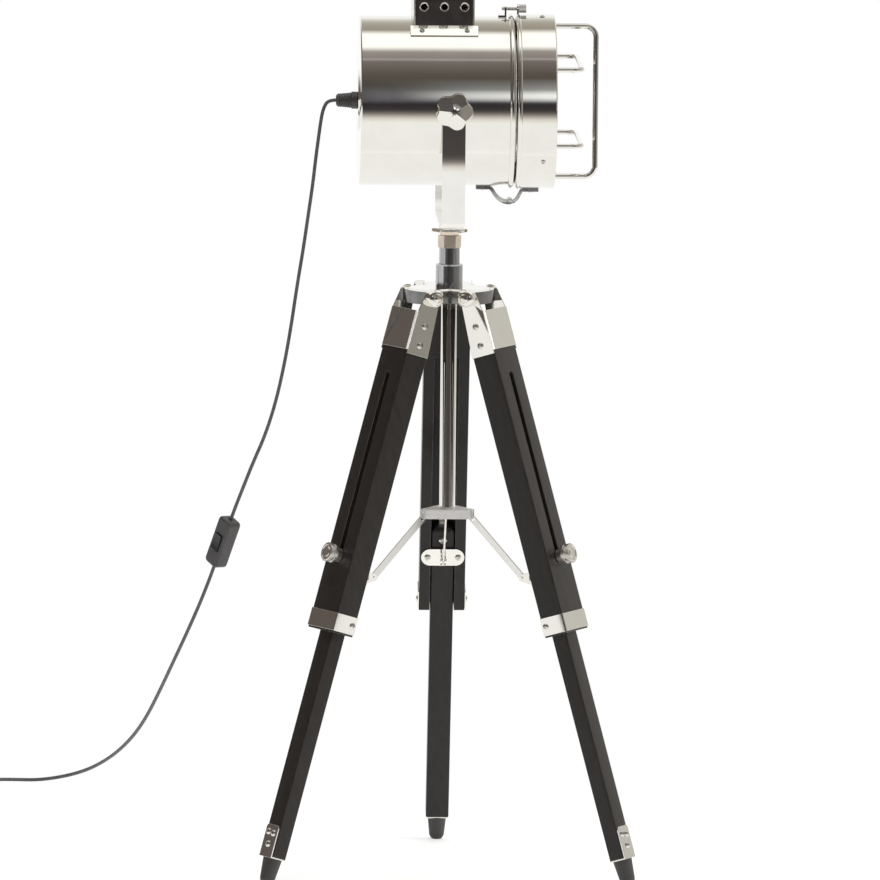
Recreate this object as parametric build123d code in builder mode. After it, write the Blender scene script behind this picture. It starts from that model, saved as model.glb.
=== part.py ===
from build123d import *
import os
from math import atan2, cos, degrees, hypot, pi, radians, sin, sqrt, tan

# A small searchlight in a swivelling yoke, on a wooden tripod with telescoping legs.
# Millimetres, +Z up, the lens looks along +X and the floor is Z = 0.
# The origin is the middle of the three feet's footprint.

# ---------------------------------------------------------------- clearances
running_fit = 0.1        # radial, a shaft or pin in its bore
moving_gap = 0.3         # between faces that pass each other
bolt_fit = 0.05          # radial, a bolt in a hole of its own body
leg_side_play = 0.8      # a lower leg in the channel of its upper leg

# ---------------------------------------------------------------- tripod
leg_azimuths = {"back": 90.0, "left": 210.0, "right": 330.0}
nut_sides = {"back": 1, "left": 1, "right": -1}
leg_lean = 17.0          # degrees from upright when the legs are spread
hinge_radius = 38.0
hinge_height = 640.0

upper_width = 50.8
upper_depth = 28.0
upper_top = 18.0         # down the leg from its hinge
upper_bottom = 383.0
front_board = 8.0
channel_width = 27.0
channel_top = 76.0       # the wood above this is solid
wood_round = 1.5

clamp_bolt_radius = 3.0
clamp_bolt_down = 299.0
clamp_head_radius = 4.4
clamp_head_height = 3.0
leg_travel = 200.0       # how far a lower leg slides up
slot_side_play = 1.0     # round the clamp bolt
slot_spare = 6.0         # of the slot, past the bolt at the top of its travel
slot_width = 2 * (clamp_bolt_radius + slot_side_play)
slot_bottom = clamp_bolt_down + slot_width / 2 + moving_gap
slot_top = clamp_bolt_down - leg_travel - slot_width / 2 - slot_spare

lower_width = channel_width - 2 * leg_side_play
lower_depth = 18.0
lower_end_over_bolt = 15.0
lower_end_round = 6.0
lower_top = clamp_bolt_down - lower_end_over_bolt

bracket_thickness = 1.6
bracket_plate_top = 18.0
bracket_plate_bottom = 62.0
strap_width = upper_depth
strap_bottom = 66.0
hinge_bolt_radius = 4.0
hinge_nut_radius = 10.0
hinge_nut_height = 11.0
hinge_head_radius = 6.0
hinge_head_height = 3.5

band_thickness = 1.2
band_width = 20.0
band_edge = 2.0          # of wood left below the band
band_bottom = upper_bottom - band_edge
band_top = band_bottom - band_width

foot_toe = 1.6           # bracket plate between the leg and its rubber
foot_plate_width = 24.0
foot_top_radius = 10.5
foot_end_radius = 8.5
foot_end_height = 7.0    # middle of the foot's round end above the floor
foot_run = 21.3          # from the toe to the middle of the round end
foot_plate_length = 36.6

# ---------------------------------------------------------------- spreader
spreader_pin_radius = 28.0
spreader_drop = 244.0    # from the leg hinges to the spreader's pins
spreader_pin_height = hinge_height - spreader_drop
spreader_corner_at = 26.0
spreader_corner_radius = 7.0
spreader_sheet = 1.6
spreader_depth = 10.0
spreader_pin_drop = 6.0  # from the top of the spreader to its pins
brace_pin_radius_out = 95.0
brace_drop = 65.0        # from the spreader's pins to those on the legs
brace_pin_height = spreader_pin_height - brace_drop
brace_width = 7.5
brace_thickness = 2.0
brace_pin = 1.5
brace_slot = 6.2         # room for the top pin to run along the brace
brace_slot_play = 0.6    # beside the top pin, which swings a little off the strip's line
clevis_sheet = 1.4
brace_plate_length = 48.0
brace_plate_width = 20.0
brace_plate_down = 318.0

# ---------------------------------------------------------------- clamp knobs
clamp_knob_radius = 11.0
clamp_knob_length = 11.0
clamp_step_radius = 8.0
clamp_step_length = 7.0
clamp_knob_grooves = 20
clamp_knob_groove = 1.4
clamp_bolt_in_knob = 6.0

# ---------------------------------------------------------------- hub and spindle
hub_radius = 50.0
hub_core_radius = 30.0
hub_thickness = 16.0
hub_edge = 2.0
lug_gap = 0.4
column_radius = 8.75
column_bottom = spreader_pin_height - 3.0
collar_radius = 15.0
collar_height = 25.0
collar_top = hinge_height + hub_thickness / 2 + collar_height
neck_radius = 11.4
neck_height = 18.0
neck_top = collar_top + neck_height
stud_radius = 4.0
spindle_nut_across = 22.0
spindle_nut_height = 13.5
top_nut_across = 13.0
top_nut_height = 6.0
wing_nut_radius = 7.0
wing_span = 40.0
wing_sheet = 3.0
wing_turn = 25.0
wing_root_at = 5.0       # from the nut's axis to where a wing grows out of it
stud_spare = 2.0         # of thread above the top nut
nut_corner = 0.57        # radius of a nut's bevelled face, of its width across flats
nut_bevel = 8.0

# ---------------------------------------------------------------- lamp head
drum_radius = 93.0
drum_wall = 1.2
drum_rear = -100.0
drum_front = 68.4
drum_bead = 6.6
rear_lip = 8.0
rear_dish_radius = 32.0
rear_dish = 1.5
ring_step = 2.5          # how far the ring stands outside the drum
ring_radius = drum_radius + ring_step
ring_wall = 1.5
seam = 1.8               # between the drum's bead and the ring's
ring_rear = drum_front + seam
ring_length = 43.3
ring_front = ring_rear + ring_length
ring_bead = 5.5
ring_face = 17.5         # width of the ring's flat front
ring_opening = ring_radius - ring_face
lens_thickness = 5.0
lens_fit = 0.3
vent_middle = -9.5
vent_length = 67.0
vent_half_width = 40.0
vent_rise = 32.0         # above the top of the drum
vent_top = drum_radius + vent_rise
vent_wall = 1.2
vent_flange_length = 75.0
vent_flange_half = 50.0
vent_hole_spacing = 22.2
vent_hole_radius = 3.5
vent_ring_radius = 4.85
vent_hole_rise = 14.7
vent_hole_height = drum_radius + vent_hole_rise
vent_opening = 44.0
vent_round = 3.0
vent_ring_stand = 1.0    # of the hole's rings
gland_flange_radius = 9.5
gland_flange_length = 6.6
gland_radius = 8.5
gland_length = 17.0
gland_round = 3.0
reflector_vertex = -45.0
reflector_focus = 35.0
reflector_neck = 21.5
reflector_wall = 1.0
socket_radius = 20.0
socket_front = -44.0
socket_depth = 24.0
bulb_cap_radius = 13.3   # an E27 screw cap
bulb_cap_length = 23.0   # inside the lampholder
bulb_shoulder = 2.0      # of the cap outside it
bulb_radius = 30.0
bulb_middle = 12.0
bulb_throat = 0.8        # of its radius, where the neck meets the globe
bulb_throat_back = 0.6   # of its radius, behind the globe's middle

guard_rod = 3.1
guard_circle = (ring_radius + ring_opening) / 2 - 3.75
guard_stand = 45.5       # of the upright rod in front of the ring
guard_reach = ring_front + guard_stand
guard_half = guard_circle
guard_bend = 12.0
side_guard_rod = 2.8
side_guard_stand = 27.5
side_guard_reach = ring_front + side_guard_stand
side_guard_height = 42.0
side_guard_half = sqrt(guard_circle**2 - side_guard_height**2)
side_guard_bend = 11.0

hinge_pin_x = drum_front - 2.9
hinge_pin_hang = 17.0    # below the drum
hinge_pin_drop = drum_radius + hinge_pin_hang
hinge_pin_radius = 1.6
knuckle_radius = 3.4
leaf_sheet = 4.0
leaf_width = 18.0
drum_leaf_front = hinge_pin_x - 21.5
drum_leaf_rear = drum_leaf_front - 16.0
door_leaf_rear = hinge_pin_x + 13.5
door_leaf_front = door_leaf_rear + 18.0
middle_knuckle = 5.6

latch_rise = 9.0
latch_height = drum_radius + latch_rise
latch_ear = 2.0
latch_ear_width = 10.0
latch_foot = 9.0         # of the bracket along the drum
latch_slot_play = 0.5
drum_ear_at = drum_front - drum_bead - 1.8
door_ear_at = ring_rear + 1.3
latch_shaft_radius = 2.0
latch_shaft_spare = 3.0  # behind the bracket's ear
latch_knob_radius = 4.5
latch_knob_length = 8.0
latch_knob_grooves = 14
latch_knob_groove = 1.0

# ---------------------------------------------------------------- yoke
wing_nut_height = 12.7
yoke_bottom = neck_top + spindle_nut_height + wing_nut_height + 2 * moving_gap
yoke_sheet = 3.0
yoke_width = 25.4
yoke_side_room = 7.0     # from the drum to an arm's inner face
yoke_under_room = 39.2   # from the drum to the yoke's cross strip
yoke_inside = drum_radius + yoke_side_room
yoke_bend = 14.0
pivot_height = yoke_bottom + yoke_sheet + yoke_under_room + drum_radius
pivot_stud_radius = 4.0
pivot_boss_radius = 11.0
pivot_knob_radius = 21.0
pivot_knob_height = 16.0
pivot_knob_lobes = 8
pivot_scallop = 8.0      # radius of the hollow between two lobes
pivot_scallop_out = 5.5  # of its middle from the knob's edge
pivot_boss_stand = 2.0
pivot_knob_edge = 1.6
pivot_stud_in_knob = 12.0

# ---------------------------------------------------------------- cord and switch
cord_radius = 2.0
coil_radius = 24.0
coil_half_width = 4.0
coil_height = 8.0
switch_width = 22.0
switch_depth = 17.0
switch_length = 60.0
switch_bore = 2.8
switch_corner = 5.0
switch_edge = 3.0
plug_boot = 3.2
plug_length = 28.0
plug_neck_length = 12.0  # of the taper behind its grip
plug_axis_height = 8.0
plug_grip = (20.0, 14.0)
plug_face = (25.0, 15.6)
plug_round = 5.0
plug_pins_apart = 12.7
plug_pin = (1.5, 6.3)
plug_pin_length = 16.0
rocker_length = 19.0
rocker_width = 11.0
rocker_sink = 4.0
rocker_stand = 2.2
rocker_dip = 0.8         # of the middle of its face
rocker_tip = 5.0         # degrees each way
rocker_taper = 0.6       # of its ends, down into the pocket

os.makedirs("parts", exist_ok=True)


# ---------------------------------------------------------------- where things stand
lean = radians(leg_lean)
board_back = upper_depth / 2 - front_board            # of the front board, from the leg's middle
lower_front = board_back - moving_gap
lower_middle = lower_front - lower_depth / 2
foot_end = (hinge_height + lower_middle * sin(lean) - foot_end_height) / cos(lean)
foot_top = foot_end - foot_run                        # down the leg, where the rubber starts
lower_bottom = foot_top - foot_toe
foot_plate_top = foot_top - foot_plate_length
toe_circle = hinge_radius + foot_top * sin(lean) + (lower_front + foot_toe) * cos(lean)
end_circle = hinge_radius + foot_end * sin(lean) + lower_middle * cos(lean)

footprint_xs = []
footprint_ys = []
for azimuth in leg_azimuths.values():
    around = radians(azimuth)
    for way in (-1, 1):
        toe_side = way * foot_plate_width / 2
        footprint_xs.append(toe_circle * cos(around) - toe_side * sin(around))
        footprint_ys.append(toe_circle * sin(around) + toe_side * cos(around))
        footprint_xs.append(end_circle * cos(around) + way * foot_end_radius)
        footprint_ys.append(end_circle * sin(around) + way * foot_end_radius)
column_x = -(max(footprint_xs) + min(footprint_xs)) / 2
column_y = -(max(footprint_ys) + min(footprint_ys)) / 2
pivot = Vector(column_x, column_y, pivot_height)
drum_axis = Axis(pivot, (1, 0, 0))


def level(height):
    """The level plane at a height, with its origin on the tripod's column."""
    return Plane(origin=(column_x, column_y, height))


def leg_frame(azimuth):
    """Origin at the leg's hinge, X across the leg, Y up it and Z out of its front face."""
    around = radians(azimuth)
    hinge = (column_x + hinge_radius * cos(around), column_y + hinge_radius * sin(around), hinge_height)
    outward = (cos(around) * cos(lean), sin(around) * cos(lean), sin(lean))
    return Plane(origin=hinge, x_dir=(-sin(around), cos(around), 0), z_dir=outward)


def across(frame, down):
    """Square across a leg, some way down from its hinge, facing down it, with Y outwards."""
    return Plane(origin=frame.from_local_coords((0, -down, 0)), x_dir=frame.x_dir, z_dir=-frame.y_dir)


def beside(frame, sideways):
    """Along a leg's side, facing across the leg, with X outwards and Y down the leg."""
    return Plane(origin=frame.from_local_coords((sideways, 0, 0)), x_dir=frame.z_dir, z_dir=frame.x_dir)


def head_section(sideways=0.0):
    """Upright through the lamp head, with X forwards and Y up from the drum's axis."""
    return Plane(origin=pivot + Vector(0, sideways, 0), x_dir=(1, 0, 0), z_dir=(0, -1, 0))


def head_face(forward):
    """Square across the lamp head, facing forwards, with X along +Y and Y upwards."""
    return Plane(origin=pivot + Vector(forward, 0, 0), x_dir=(0, 1, 0), z_dir=(1, 0, 0))


def save(piece, label):
    """Name a finished piece and write its STEP file."""
    piece.part.label = label
    export_step(piece.part, f"parts/{label}.step")


# ---------------------------------------------------------------- hub, column and spindle
hub_bottom = hinge_height - hub_thickness / 2
hub_top = hinge_height + hub_thickness / 2
lug_width = upper_width - 2 * lug_gap
frames = {side: leg_frame(azimuth) for side, azimuth in leg_azimuths.items()}

with BuildPart() as hub_plate:
    with BuildSketch(level(hub_bottom)):
        with PolarLocations(hub_radius / 2, len(frames), start_angle=leg_azimuths["back"]):
            Rectangle(hub_radius, lug_width)
        Circle(hub_core_radius)
        Circle(hub_radius, mode=Mode.INTERSECT)
    extrude(amount=hub_thickness)
    chamfer(hub_plate.faces().sort_by(Axis.Z)[-1].edges(), hub_edge)
    for frame in frames.values():
        with BuildSketch(beside(frame, -upper_width)):
            Circle(hinge_bolt_radius + running_fit)
        extrude(amount=2 * upper_width, mode=Mode.SUBTRACT)
save(hub_plate, "hub_plate")

with BuildPart() as column_tube:
    with BuildSketch(level(column_bottom)):
        Circle(column_radius)
    extrude(amount=hub_bottom - column_bottom)
    chamfer(column_tube.edges().sort_by(Axis.Z)[0], 1.0)
save(column_tube, "column_tube")

nut_seat = neck_top + spindle_nut_height
top_nut_seat = yoke_bottom + yoke_sheet + moving_gap

with BuildPart() as spindle:
    with BuildSketch(level(hub_top)):
        Circle(collar_radius)
    extrude(amount=collar_top - hub_top)
    chamfer(spindle.edges().sort_by(Axis.Z)[-1], 1.5)
    with BuildSketch(level(collar_top)):
        Circle(neck_radius)
    extrude(amount=neck_top - collar_top)
    with BuildSketch(level(neck_top)):
        Circle(stud_radius)
    extrude(amount=top_nut_seat + top_nut_height + stud_spare - neck_top)
    chamfer(spindle.edges().sort_by(Axis.Z)[-1], 0.8)
save(spindle, "spindle")

with BuildPart() as spindle_nuts:
    for seat, across_flats, height in (
        (neck_top, spindle_nut_across, spindle_nut_height),
        (top_nut_seat, top_nut_across, top_nut_height),
    ):
        with BuildSketch(level(seat)):
            RegularPolygon(across_flats / 2, 6, major_radius=False)
            Circle(stud_radius + bolt_fit, mode=Mode.SUBTRACT)
        extrude(amount=height)
        with BuildSketch(level(seat)):
            Circle(across_flats)
            Circle(across_flats * nut_corner, mode=Mode.SUBTRACT)
        extrude(amount=height, mode=Mode.SUBTRACT, taper=nut_bevel)
save(spindle_nuts, "spindle_nuts")

wing_nut_seat = nut_seat + moving_gap
wing_plane = Plane(
    origin=(column_x, column_y, wing_nut_seat),
    x_dir=(cos(radians(wing_turn)), -sin(radians(wing_turn)), 0),
    z_dir=(-sin(radians(wing_turn)), -cos(radians(wing_turn)), 0),
)
wing_root_radius = wing_nut_height * 0.29
wing_tip_radius = wing_nut_height * 0.36

with BuildPart() as wing_nut:
    with BuildSketch(wing_plane):
        for way in (-1, 1):
            with BuildSketch(mode=Mode.ADD) as wing:
                with Locations((way * wing_root_at, wing_root_radius)):
                    Circle(wing_root_radius)
                with Locations((way * (wing_span / 2 - wing_tip_radius), wing_nut_height - wing_tip_radius)):
                    Circle(wing_tip_radius)
                make_hull()
    extrude(amount=wing_sheet / 2, both=True)
    with BuildSketch(level(wing_nut_seat)):
        Circle(wing_nut_radius)
    extrude(amount=wing_nut_height, taper=6)
    with BuildSketch(level(wing_nut_seat)):
        Circle(stud_radius + running_fit)
    extrude(amount=wing_nut_height, mode=Mode.SUBTRACT)
save(wing_nut, "wing_nut")


# ---------------------------------------------------------------- spreader
spreader_top = spreader_pin_height + spreader_pin_drop


def rounded_triangle(inset):
    """The spreader's outline, with a round corner towards each leg."""
    with PolarLocations(spreader_corner_at, 3, start_angle=leg_azimuths["back"]):
        Circle(spreader_corner_radius - inset)
    make_hull()


with BuildPart() as spreader:
    with BuildSketch(level(spreader_top - spreader_depth)):
        rounded_triangle(0)
    extrude(amount=spreader_depth)
    with BuildSketch(level(spreader_top - spreader_depth)):
        rounded_triangle(spreader_sheet)
    extrude(amount=spreader_depth - spreader_sheet, mode=Mode.SUBTRACT)
    with BuildSketch(level(spreader_top - spreader_depth)):
        with PolarLocations(spreader_pin_radius + 2, 3, start_angle=leg_azimuths["back"]):
            Rectangle(20, brace_thickness + 2 * moving_gap)
        Circle(column_radius + running_fit)
    extrude(amount=spreader_depth, mode=Mode.SUBTRACT)
    for azimuth in leg_azimuths.values():
        around = radians(azimuth)
        pin_plane = Plane(
            origin=(
                column_x + spreader_pin_radius * cos(around),
                column_y + spreader_pin_radius * sin(around),
                spreader_pin_height,
            ),
            x_dir=(cos(around), sin(around), 0),
            z_dir=(-sin(around), cos(around), 0),
        )
        with BuildSketch(pin_plane):
            Circle(brace_pin)
        extrude(amount=spreader_corner_radius - spreader_sheet + 0.6, both=True)
save(spreader, "spreader")


# ---------------------------------------------------------------- legs
brace_rise = spreader_pin_height - brace_pin_height
brace_run = brace_pin_radius_out - spreader_pin_radius
brace_length = hypot(brace_rise, brace_run)
clevis_half = brace_thickness / 2 + moving_gap
clevis_tip_radius = 4.0
clevis_root = 10.0
print(f"brace between pins {brace_length:.2f} mm, {degrees(atan2(brace_rise, brace_run)):.2f} degrees")

for side, azimuth in leg_azimuths.items():
    frame = frames[side]
    around = radians(azimuth)
    nut_side = nut_sides[side]

    with BuildPart() as leg_upper:
        with BuildSketch(across(frame, upper_top)):
            RectangleRounded(upper_width, upper_depth, wood_round)
        extrude(amount=upper_bottom - upper_top)
        with BuildSketch(across(frame, channel_top)):
            with Locations((0, board_back)):
                Rectangle(channel_width, upper_depth, align=(Align.CENTER, Align.MAX))
        extrude(amount=upper_bottom - channel_top, mode=Mode.SUBTRACT)
        with BuildSketch(frame.offset(upper_depth / 2)):
            with Locations((0, -(slot_top + slot_bottom) / 2)):
                SlotOverall(slot_bottom - slot_top, slot_width, rotation=90)
        extrude(amount=-upper_depth, mode=Mode.SUBTRACT)
    save(leg_upper, f"leg_upper_{side}")

    with BuildPart() as leg_bracket:
        with BuildSketch(frame.offset(upper_depth / 2)):
            with Locations((0, -(bracket_plate_top + bracket_plate_bottom) / 2)):
                Rectangle(upper_width + 2 * bracket_thickness, bracket_plate_bottom - bracket_plate_top)
        extrude(amount=bracket_thickness)
        for way in (-1, 1):
            with BuildSketch(beside(frame, way * upper_width / 2)):
                Circle(strap_width / 2)
                Rectangle(strap_width, strap_bottom, align=(Align.CENTER, Align.MIN))
                Circle(hinge_bolt_radius + bolt_fit, mode=Mode.SUBTRACT)
            extrude(amount=way * bracket_thickness)
    strap_face = upper_width / 2 + bracket_thickness
    with BuildPart() as hinge_bolt:
        with BuildSketch(beside(frame, -strap_face)):
            Circle(hinge_bolt_radius)
        extrude(amount=2 * strap_face)
        with BuildSketch(beside(frame, nut_side * strap_face)):
            Circle(hinge_nut_radius)
        extrude(amount=nut_side * hinge_nut_height)
        fillet(hinge_bolt.edges().sort_by(Axis(frame.origin, frame.x_dir * nut_side))[-1], hinge_nut_radius / 2)
        with BuildSketch(beside(frame, -nut_side * strap_face)):
            Circle(hinge_head_radius)
        extrude(amount=-nut_side * hinge_head_height)
        chamfer(hinge_bolt.edges().sort_by(Axis(frame.origin, frame.x_dir * nut_side))[0], hinge_head_height / 2)
    leg_bracket.part.label = f"leg_bracket_{side}"
    bracket_and_bolt = Compound(children=[leg_bracket.part, hinge_bolt.part])
    bracket_and_bolt.label = f"leg_bracket_{side}"
    export_step(bracket_and_bolt, f"parts/leg_bracket_{side}.step")

    with BuildPart() as leg_band:
        with BuildSketch(across(frame, band_top)):
            with Locations((0, upper_depth / 2 + band_thickness)):
                Rectangle(
                    upper_width + 2 * band_thickness,
                    upper_depth + band_thickness,
                    align=(Align.CENTER, Align.MAX),
                )
            with Locations((0, upper_depth / 2)):
                Rectangle(upper_width, upper_depth, align=(Align.CENTER, Align.MAX), mode=Mode.SUBTRACT)
        extrude(amount=band_bottom - band_top)
    save(leg_band, f"leg_band_{side}")

    # The brace plate bridges the channel, and its two ears carry the lower end of the brace.
    brace_pin_point = Vector(
        column_x + brace_pin_radius_out * cos(around),
        column_y + brace_pin_radius_out * sin(around),
        brace_pin_height,
    )
    pin_in_leg = frame.to_local_coords(brace_pin_point)
    plate_face = -upper_depth / 2
    ear_root = plate_face - bracket_thickness
    with BuildPart() as brace_plate:
        with BuildSketch(frame.offset(plate_face)):
            with Locations((0, -brace_plate_down)):
                SlotOverall(brace_plate_length, brace_plate_width)
        extrude(amount=-bracket_thickness)
        for way in (-1, 1):
            with BuildSketch(beside(frame, way * clevis_half)):
                with Locations((pin_in_leg.Z, -pin_in_leg.Y)):
                    Circle(clevis_tip_radius)
                for end in (-1, 1):
                    with Locations((ear_root - 0.5, brace_plate_down + end * (clevis_root - 1))):
                        Circle(0.5)
                make_hull()
                with Locations((ear_root, brace_plate_down)):
                    Rectangle(1.0, 2 * clevis_root, align=(Align.MAX, Align.CENTER))
                with Locations((pin_in_leg.Z, -pin_in_leg.Y)):
                    Circle(brace_pin, mode=Mode.SUBTRACT)
            extrude(amount=way * clevis_sheet)
        with BuildSketch(beside(frame, -clevis_half - clevis_sheet - 0.8)):
            with Locations((pin_in_leg.Z, -pin_in_leg.Y)):
                Circle(brace_pin)
        extrude(amount=2 * (clevis_half + clevis_sheet + 0.8))
    save(brace_plate, f"brace_plate_{side}")

    # A flat strip from the ears up to the spreader, with a slotted eye at the top.
    brace_plane = Plane(
        origin=brace_pin_point,
        x_dir=(
            -cos(around) * brace_run / brace_length,
            -sin(around) * brace_run / brace_length,
            brace_rise / brace_length,
        ),
        z_dir=(-sin(around), cos(around), 0),
    )
    with BuildPart() as brace:
        with BuildSketch(brace_plane):
            with Locations((brace_length / 2, 0)):
                SlotCenterToCenter(brace_length, brace_width)
            Circle(brace_pin + running_fit, mode=Mode.SUBTRACT)
            with Locations((brace_length - brace_slot / 2, 0)):
                SlotCenterToCenter(brace_slot, 2 * (brace_pin + brace_slot_play), mode=Mode.SUBTRACT)
        extrude(amount=brace_thickness / 2, both=True)
    save(brace, f"brace_{side}")

    with BuildPart() as leg_lower:
        with BuildSketch(across(frame, lower_top)):
            with Locations((0, lower_middle)):
                RectangleRounded(lower_width, lower_depth, wood_round)
        extrude(amount=lower_bottom - lower_top)
        end_corners = leg_lower.faces().sort_by(Axis(frame.origin, frame.y_dir))[-1].edges()
        fillet(end_corners.filter_by(lambda edge: abs(edge.tangent_at(0.5).dot(frame.z_dir)) > 0.99), lower_end_round)
        with BuildSketch(frame.offset(lower_front)):
            with Locations((0, -clamp_bolt_down)):
                Circle(clamp_bolt_radius + bolt_fit)
        extrude(amount=-lower_depth, mode=Mode.SUBTRACT)
    save(leg_lower, f"leg_lower_{side}")

    lower_back = lower_front - lower_depth
    clamp_bolt_end = upper_depth / 2 + moving_gap + clamp_step_length + clamp_bolt_in_knob
    with BuildPart() as clamp_bolt:
        with BuildSketch(frame.offset(lower_back)):
            with Locations((0, -clamp_bolt_down)):
                Circle(clamp_head_radius)
        extrude(amount=-clamp_head_height)
        chamfer(clamp_bolt.edges().sort_by(Axis(frame.origin, frame.z_dir))[0], clamp_head_height / 2)
        with BuildSketch(frame.offset(lower_back)):
            with Locations((0, -clamp_bolt_down)):
                Circle(clamp_bolt_radius)
        extrude(amount=clamp_bolt_end - lower_back)
    save(clamp_bolt, f"clamp_bolt_{side}")

    knob_seat = upper_depth / 2 + moving_gap
    knob_foot = frame.from_local_coords((0, -clamp_bolt_down, knob_seat))
    knob_plane = Plane(origin=knob_foot, x_dir=frame.x_dir, z_dir=frame.z_dir)
    with BuildPart() as clamp_knob:
        with BuildSketch(knob_plane):
            Circle(clamp_step_radius)
        extrude(amount=clamp_step_length)
        with BuildSketch(knob_plane.offset(clamp_step_length)):
            Circle(clamp_knob_radius)
            with PolarLocations(clamp_knob_radius, clamp_knob_grooves):
                Rectangle(clamp_knob_groove, clamp_knob_groove, rotation=45, mode=Mode.SUBTRACT)
        extrude(amount=clamp_knob_length)
        with BuildSketch(knob_plane):
            Circle(clamp_bolt_radius + running_fit)
        extrude(amount=clamp_bolt_end - knob_seat + 1.0, mode=Mode.SUBTRACT)
    save(clamp_knob, f"clamp_knob_{side}")

    # An L of sheet screwed to the leg's front, with its toe between the wood and the rubber.
    with BuildPart() as foot_bracket:
        with BuildSketch(frame.offset(lower_front)):
            with Locations((0, -(foot_plate_top + lower_bottom + foot_toe) / 2)):
                RectangleRounded(foot_plate_width, lower_bottom + foot_toe - foot_plate_top, 4.0)
            with Locations((0, -(lower_bottom + foot_toe))):
                Rectangle(foot_plate_width, 8.0, align=(Align.CENTER, Align.MIN))
        extrude(amount=foot_toe)
        with BuildSketch(across(frame, lower_bottom)):
            with Locations((0, lower_front)):
                Rectangle(foot_plate_width, lower_depth, align=(Align.CENTER, Align.MAX))
        extrude(amount=foot_toe)
    save(foot_bracket, f"foot_bracket_{side}")

    foot_plane = Plane(
        origin=frame.from_local_coords((0, -foot_top, lower_middle)),
        x_dir=frame.x_dir,
        z_dir=frame.z_dir,
    )
    run = foot_end - foot_top
    with BuildPart() as foot:
        with BuildSketch(foot_plane):
            with BuildLine():
                Polyline((0, -run - foot_end_radius), (0, 0), (foot_top_radius, 0), (foot_end_radius, -run))
                RadiusArc((foot_end_radius, -run), (0, -run - foot_end_radius), foot_end_radius)
            make_face()
        revolve(axis=Axis(foot_plane.origin, frame.y_dir))
        split(bisect_by=Plane.XY, keep=Keep.TOP)
    save(foot, f"foot_{side}")


# ---------------------------------------------------------------- yoke and its knobs
arm_top = pivot_height + yoke_width / 2
yoke_plane = Plane(origin=(column_x, column_y, 0), x_dir=(0, 1, 0), z_dir=(1, 0, 0))
yoke_outside = yoke_inside + yoke_sheet

with BuildPart() as yoke:
    with BuildSketch(yoke_plane) as outer_u:
        with Locations((0, yoke_bottom)):
            Rectangle(2 * yoke_outside, arm_top - yoke_bottom, align=(Align.CENTER, Align.MIN))
        fillet(outer_u.vertices().group_by(Axis.Y)[0], yoke_bend + yoke_sheet)
    extrude(amount=yoke_width / 2, both=True)
    with BuildSketch(yoke_plane) as inner_u:
        with Locations((0, yoke_bottom + yoke_sheet)):
            Rectangle(2 * yoke_inside, arm_top - yoke_bottom, align=(Align.CENTER, Align.MIN))
        fillet(inner_u.vertices().group_by(Axis.Y)[0], yoke_bend)
    extrude(amount=yoke_width / 2, both=True, mode=Mode.SUBTRACT)
    arm_corners = yoke.edges().filter_by(Axis.Y).group_by(Axis.Z)[-1]
    fillet(arm_corners, yoke_width / 2 - 0.2)
    with BuildSketch(head_section(yoke_outside)):
        Circle(pivot_stud_radius + running_fit)
    extrude(amount=2 * yoke_outside, mode=Mode.SUBTRACT)
    with BuildSketch(level(yoke_bottom)):
        Circle(stud_radius + running_fit)
    extrude(amount=yoke_sheet, mode=Mode.SUBTRACT)
save(yoke, "yoke")

knob_inner = yoke_outside + moving_gap
stud_end = knob_inner + pivot_stud_in_knob
for side, way in (("near", -1), ("far", 1)):
    knob_plane = Plane(
        origin=pivot + Vector(0, way * knob_inner, 0), x_dir=(1, 0, 0), z_dir=(0, way, 0)
    )
    with BuildPart() as pivot_knob:
        with BuildSketch(knob_plane):
            Circle(pivot_boss_radius)
        extrude(amount=pivot_boss_stand)
        with BuildSketch(knob_plane.offset(pivot_boss_stand)):
            Circle(pivot_knob_radius)
            with PolarLocations(pivot_knob_radius + pivot_scallop_out, pivot_knob_lobes):
                Circle(pivot_scallop, mode=Mode.SUBTRACT)
        extrude(amount=pivot_knob_height - pivot_boss_stand)
        chamfer(pivot_knob.faces().sort_by(Axis.Y)[0 if way < 0 else -1].edges(), pivot_knob_edge)
        with BuildSketch(knob_plane):
            Circle(pivot_stud_radius + running_fit)
        extrude(amount=pivot_stud_in_knob + 0.5, mode=Mode.SUBTRACT)
    save(pivot_knob, f"pivot_knob_{side}")

with BuildPart() as pivot_studs:
    for way in (-1, 1):
        boss_plane = Plane(origin=pivot, x_dir=(1, 0, 0), z_dir=(0, way, 0))
        with BuildSketch(boss_plane.offset(drum_radius - 3.0)):
            Circle(pivot_boss_radius)
        extrude(amount=yoke_inside - moving_gap - drum_radius + 3.0)
        with BuildSketch(boss_plane.offset(yoke_inside - moving_gap)):
            Circle(pivot_stud_radius)
        extrude(amount=stud_end - yoke_inside + moving_gap)
    with BuildSketch(head_face(-2 * pivot_boss_radius)):
        Circle(drum_radius)
    extrude(amount=4 * pivot_boss_radius, mode=Mode.SUBTRACT)
save(pivot_studs, "pivot_studs")


# ---------------------------------------------------------------- lamp head
with BuildPart() as drum_shell:
    with BuildSketch(head_section()):
        with Locations((drum_rear, drum_radius)):
            Rectangle(drum_front - drum_rear, drum_wall, align=(Align.MIN, Align.MAX))
        with Locations((drum_front - drum_bead / 2, drum_radius)):
            Circle(drum_bead / 2)
    revolve(axis=drum_axis)
    with BuildSketch(Plane(origin=pivot + Vector(vent_middle, 0, 0))):
        RectangleRounded(vent_opening, vent_opening, 6.0)
    extrude(amount=drum_radius + 1, mode=Mode.SUBTRACT)
save(drum_shell, "drum_shell")

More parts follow.
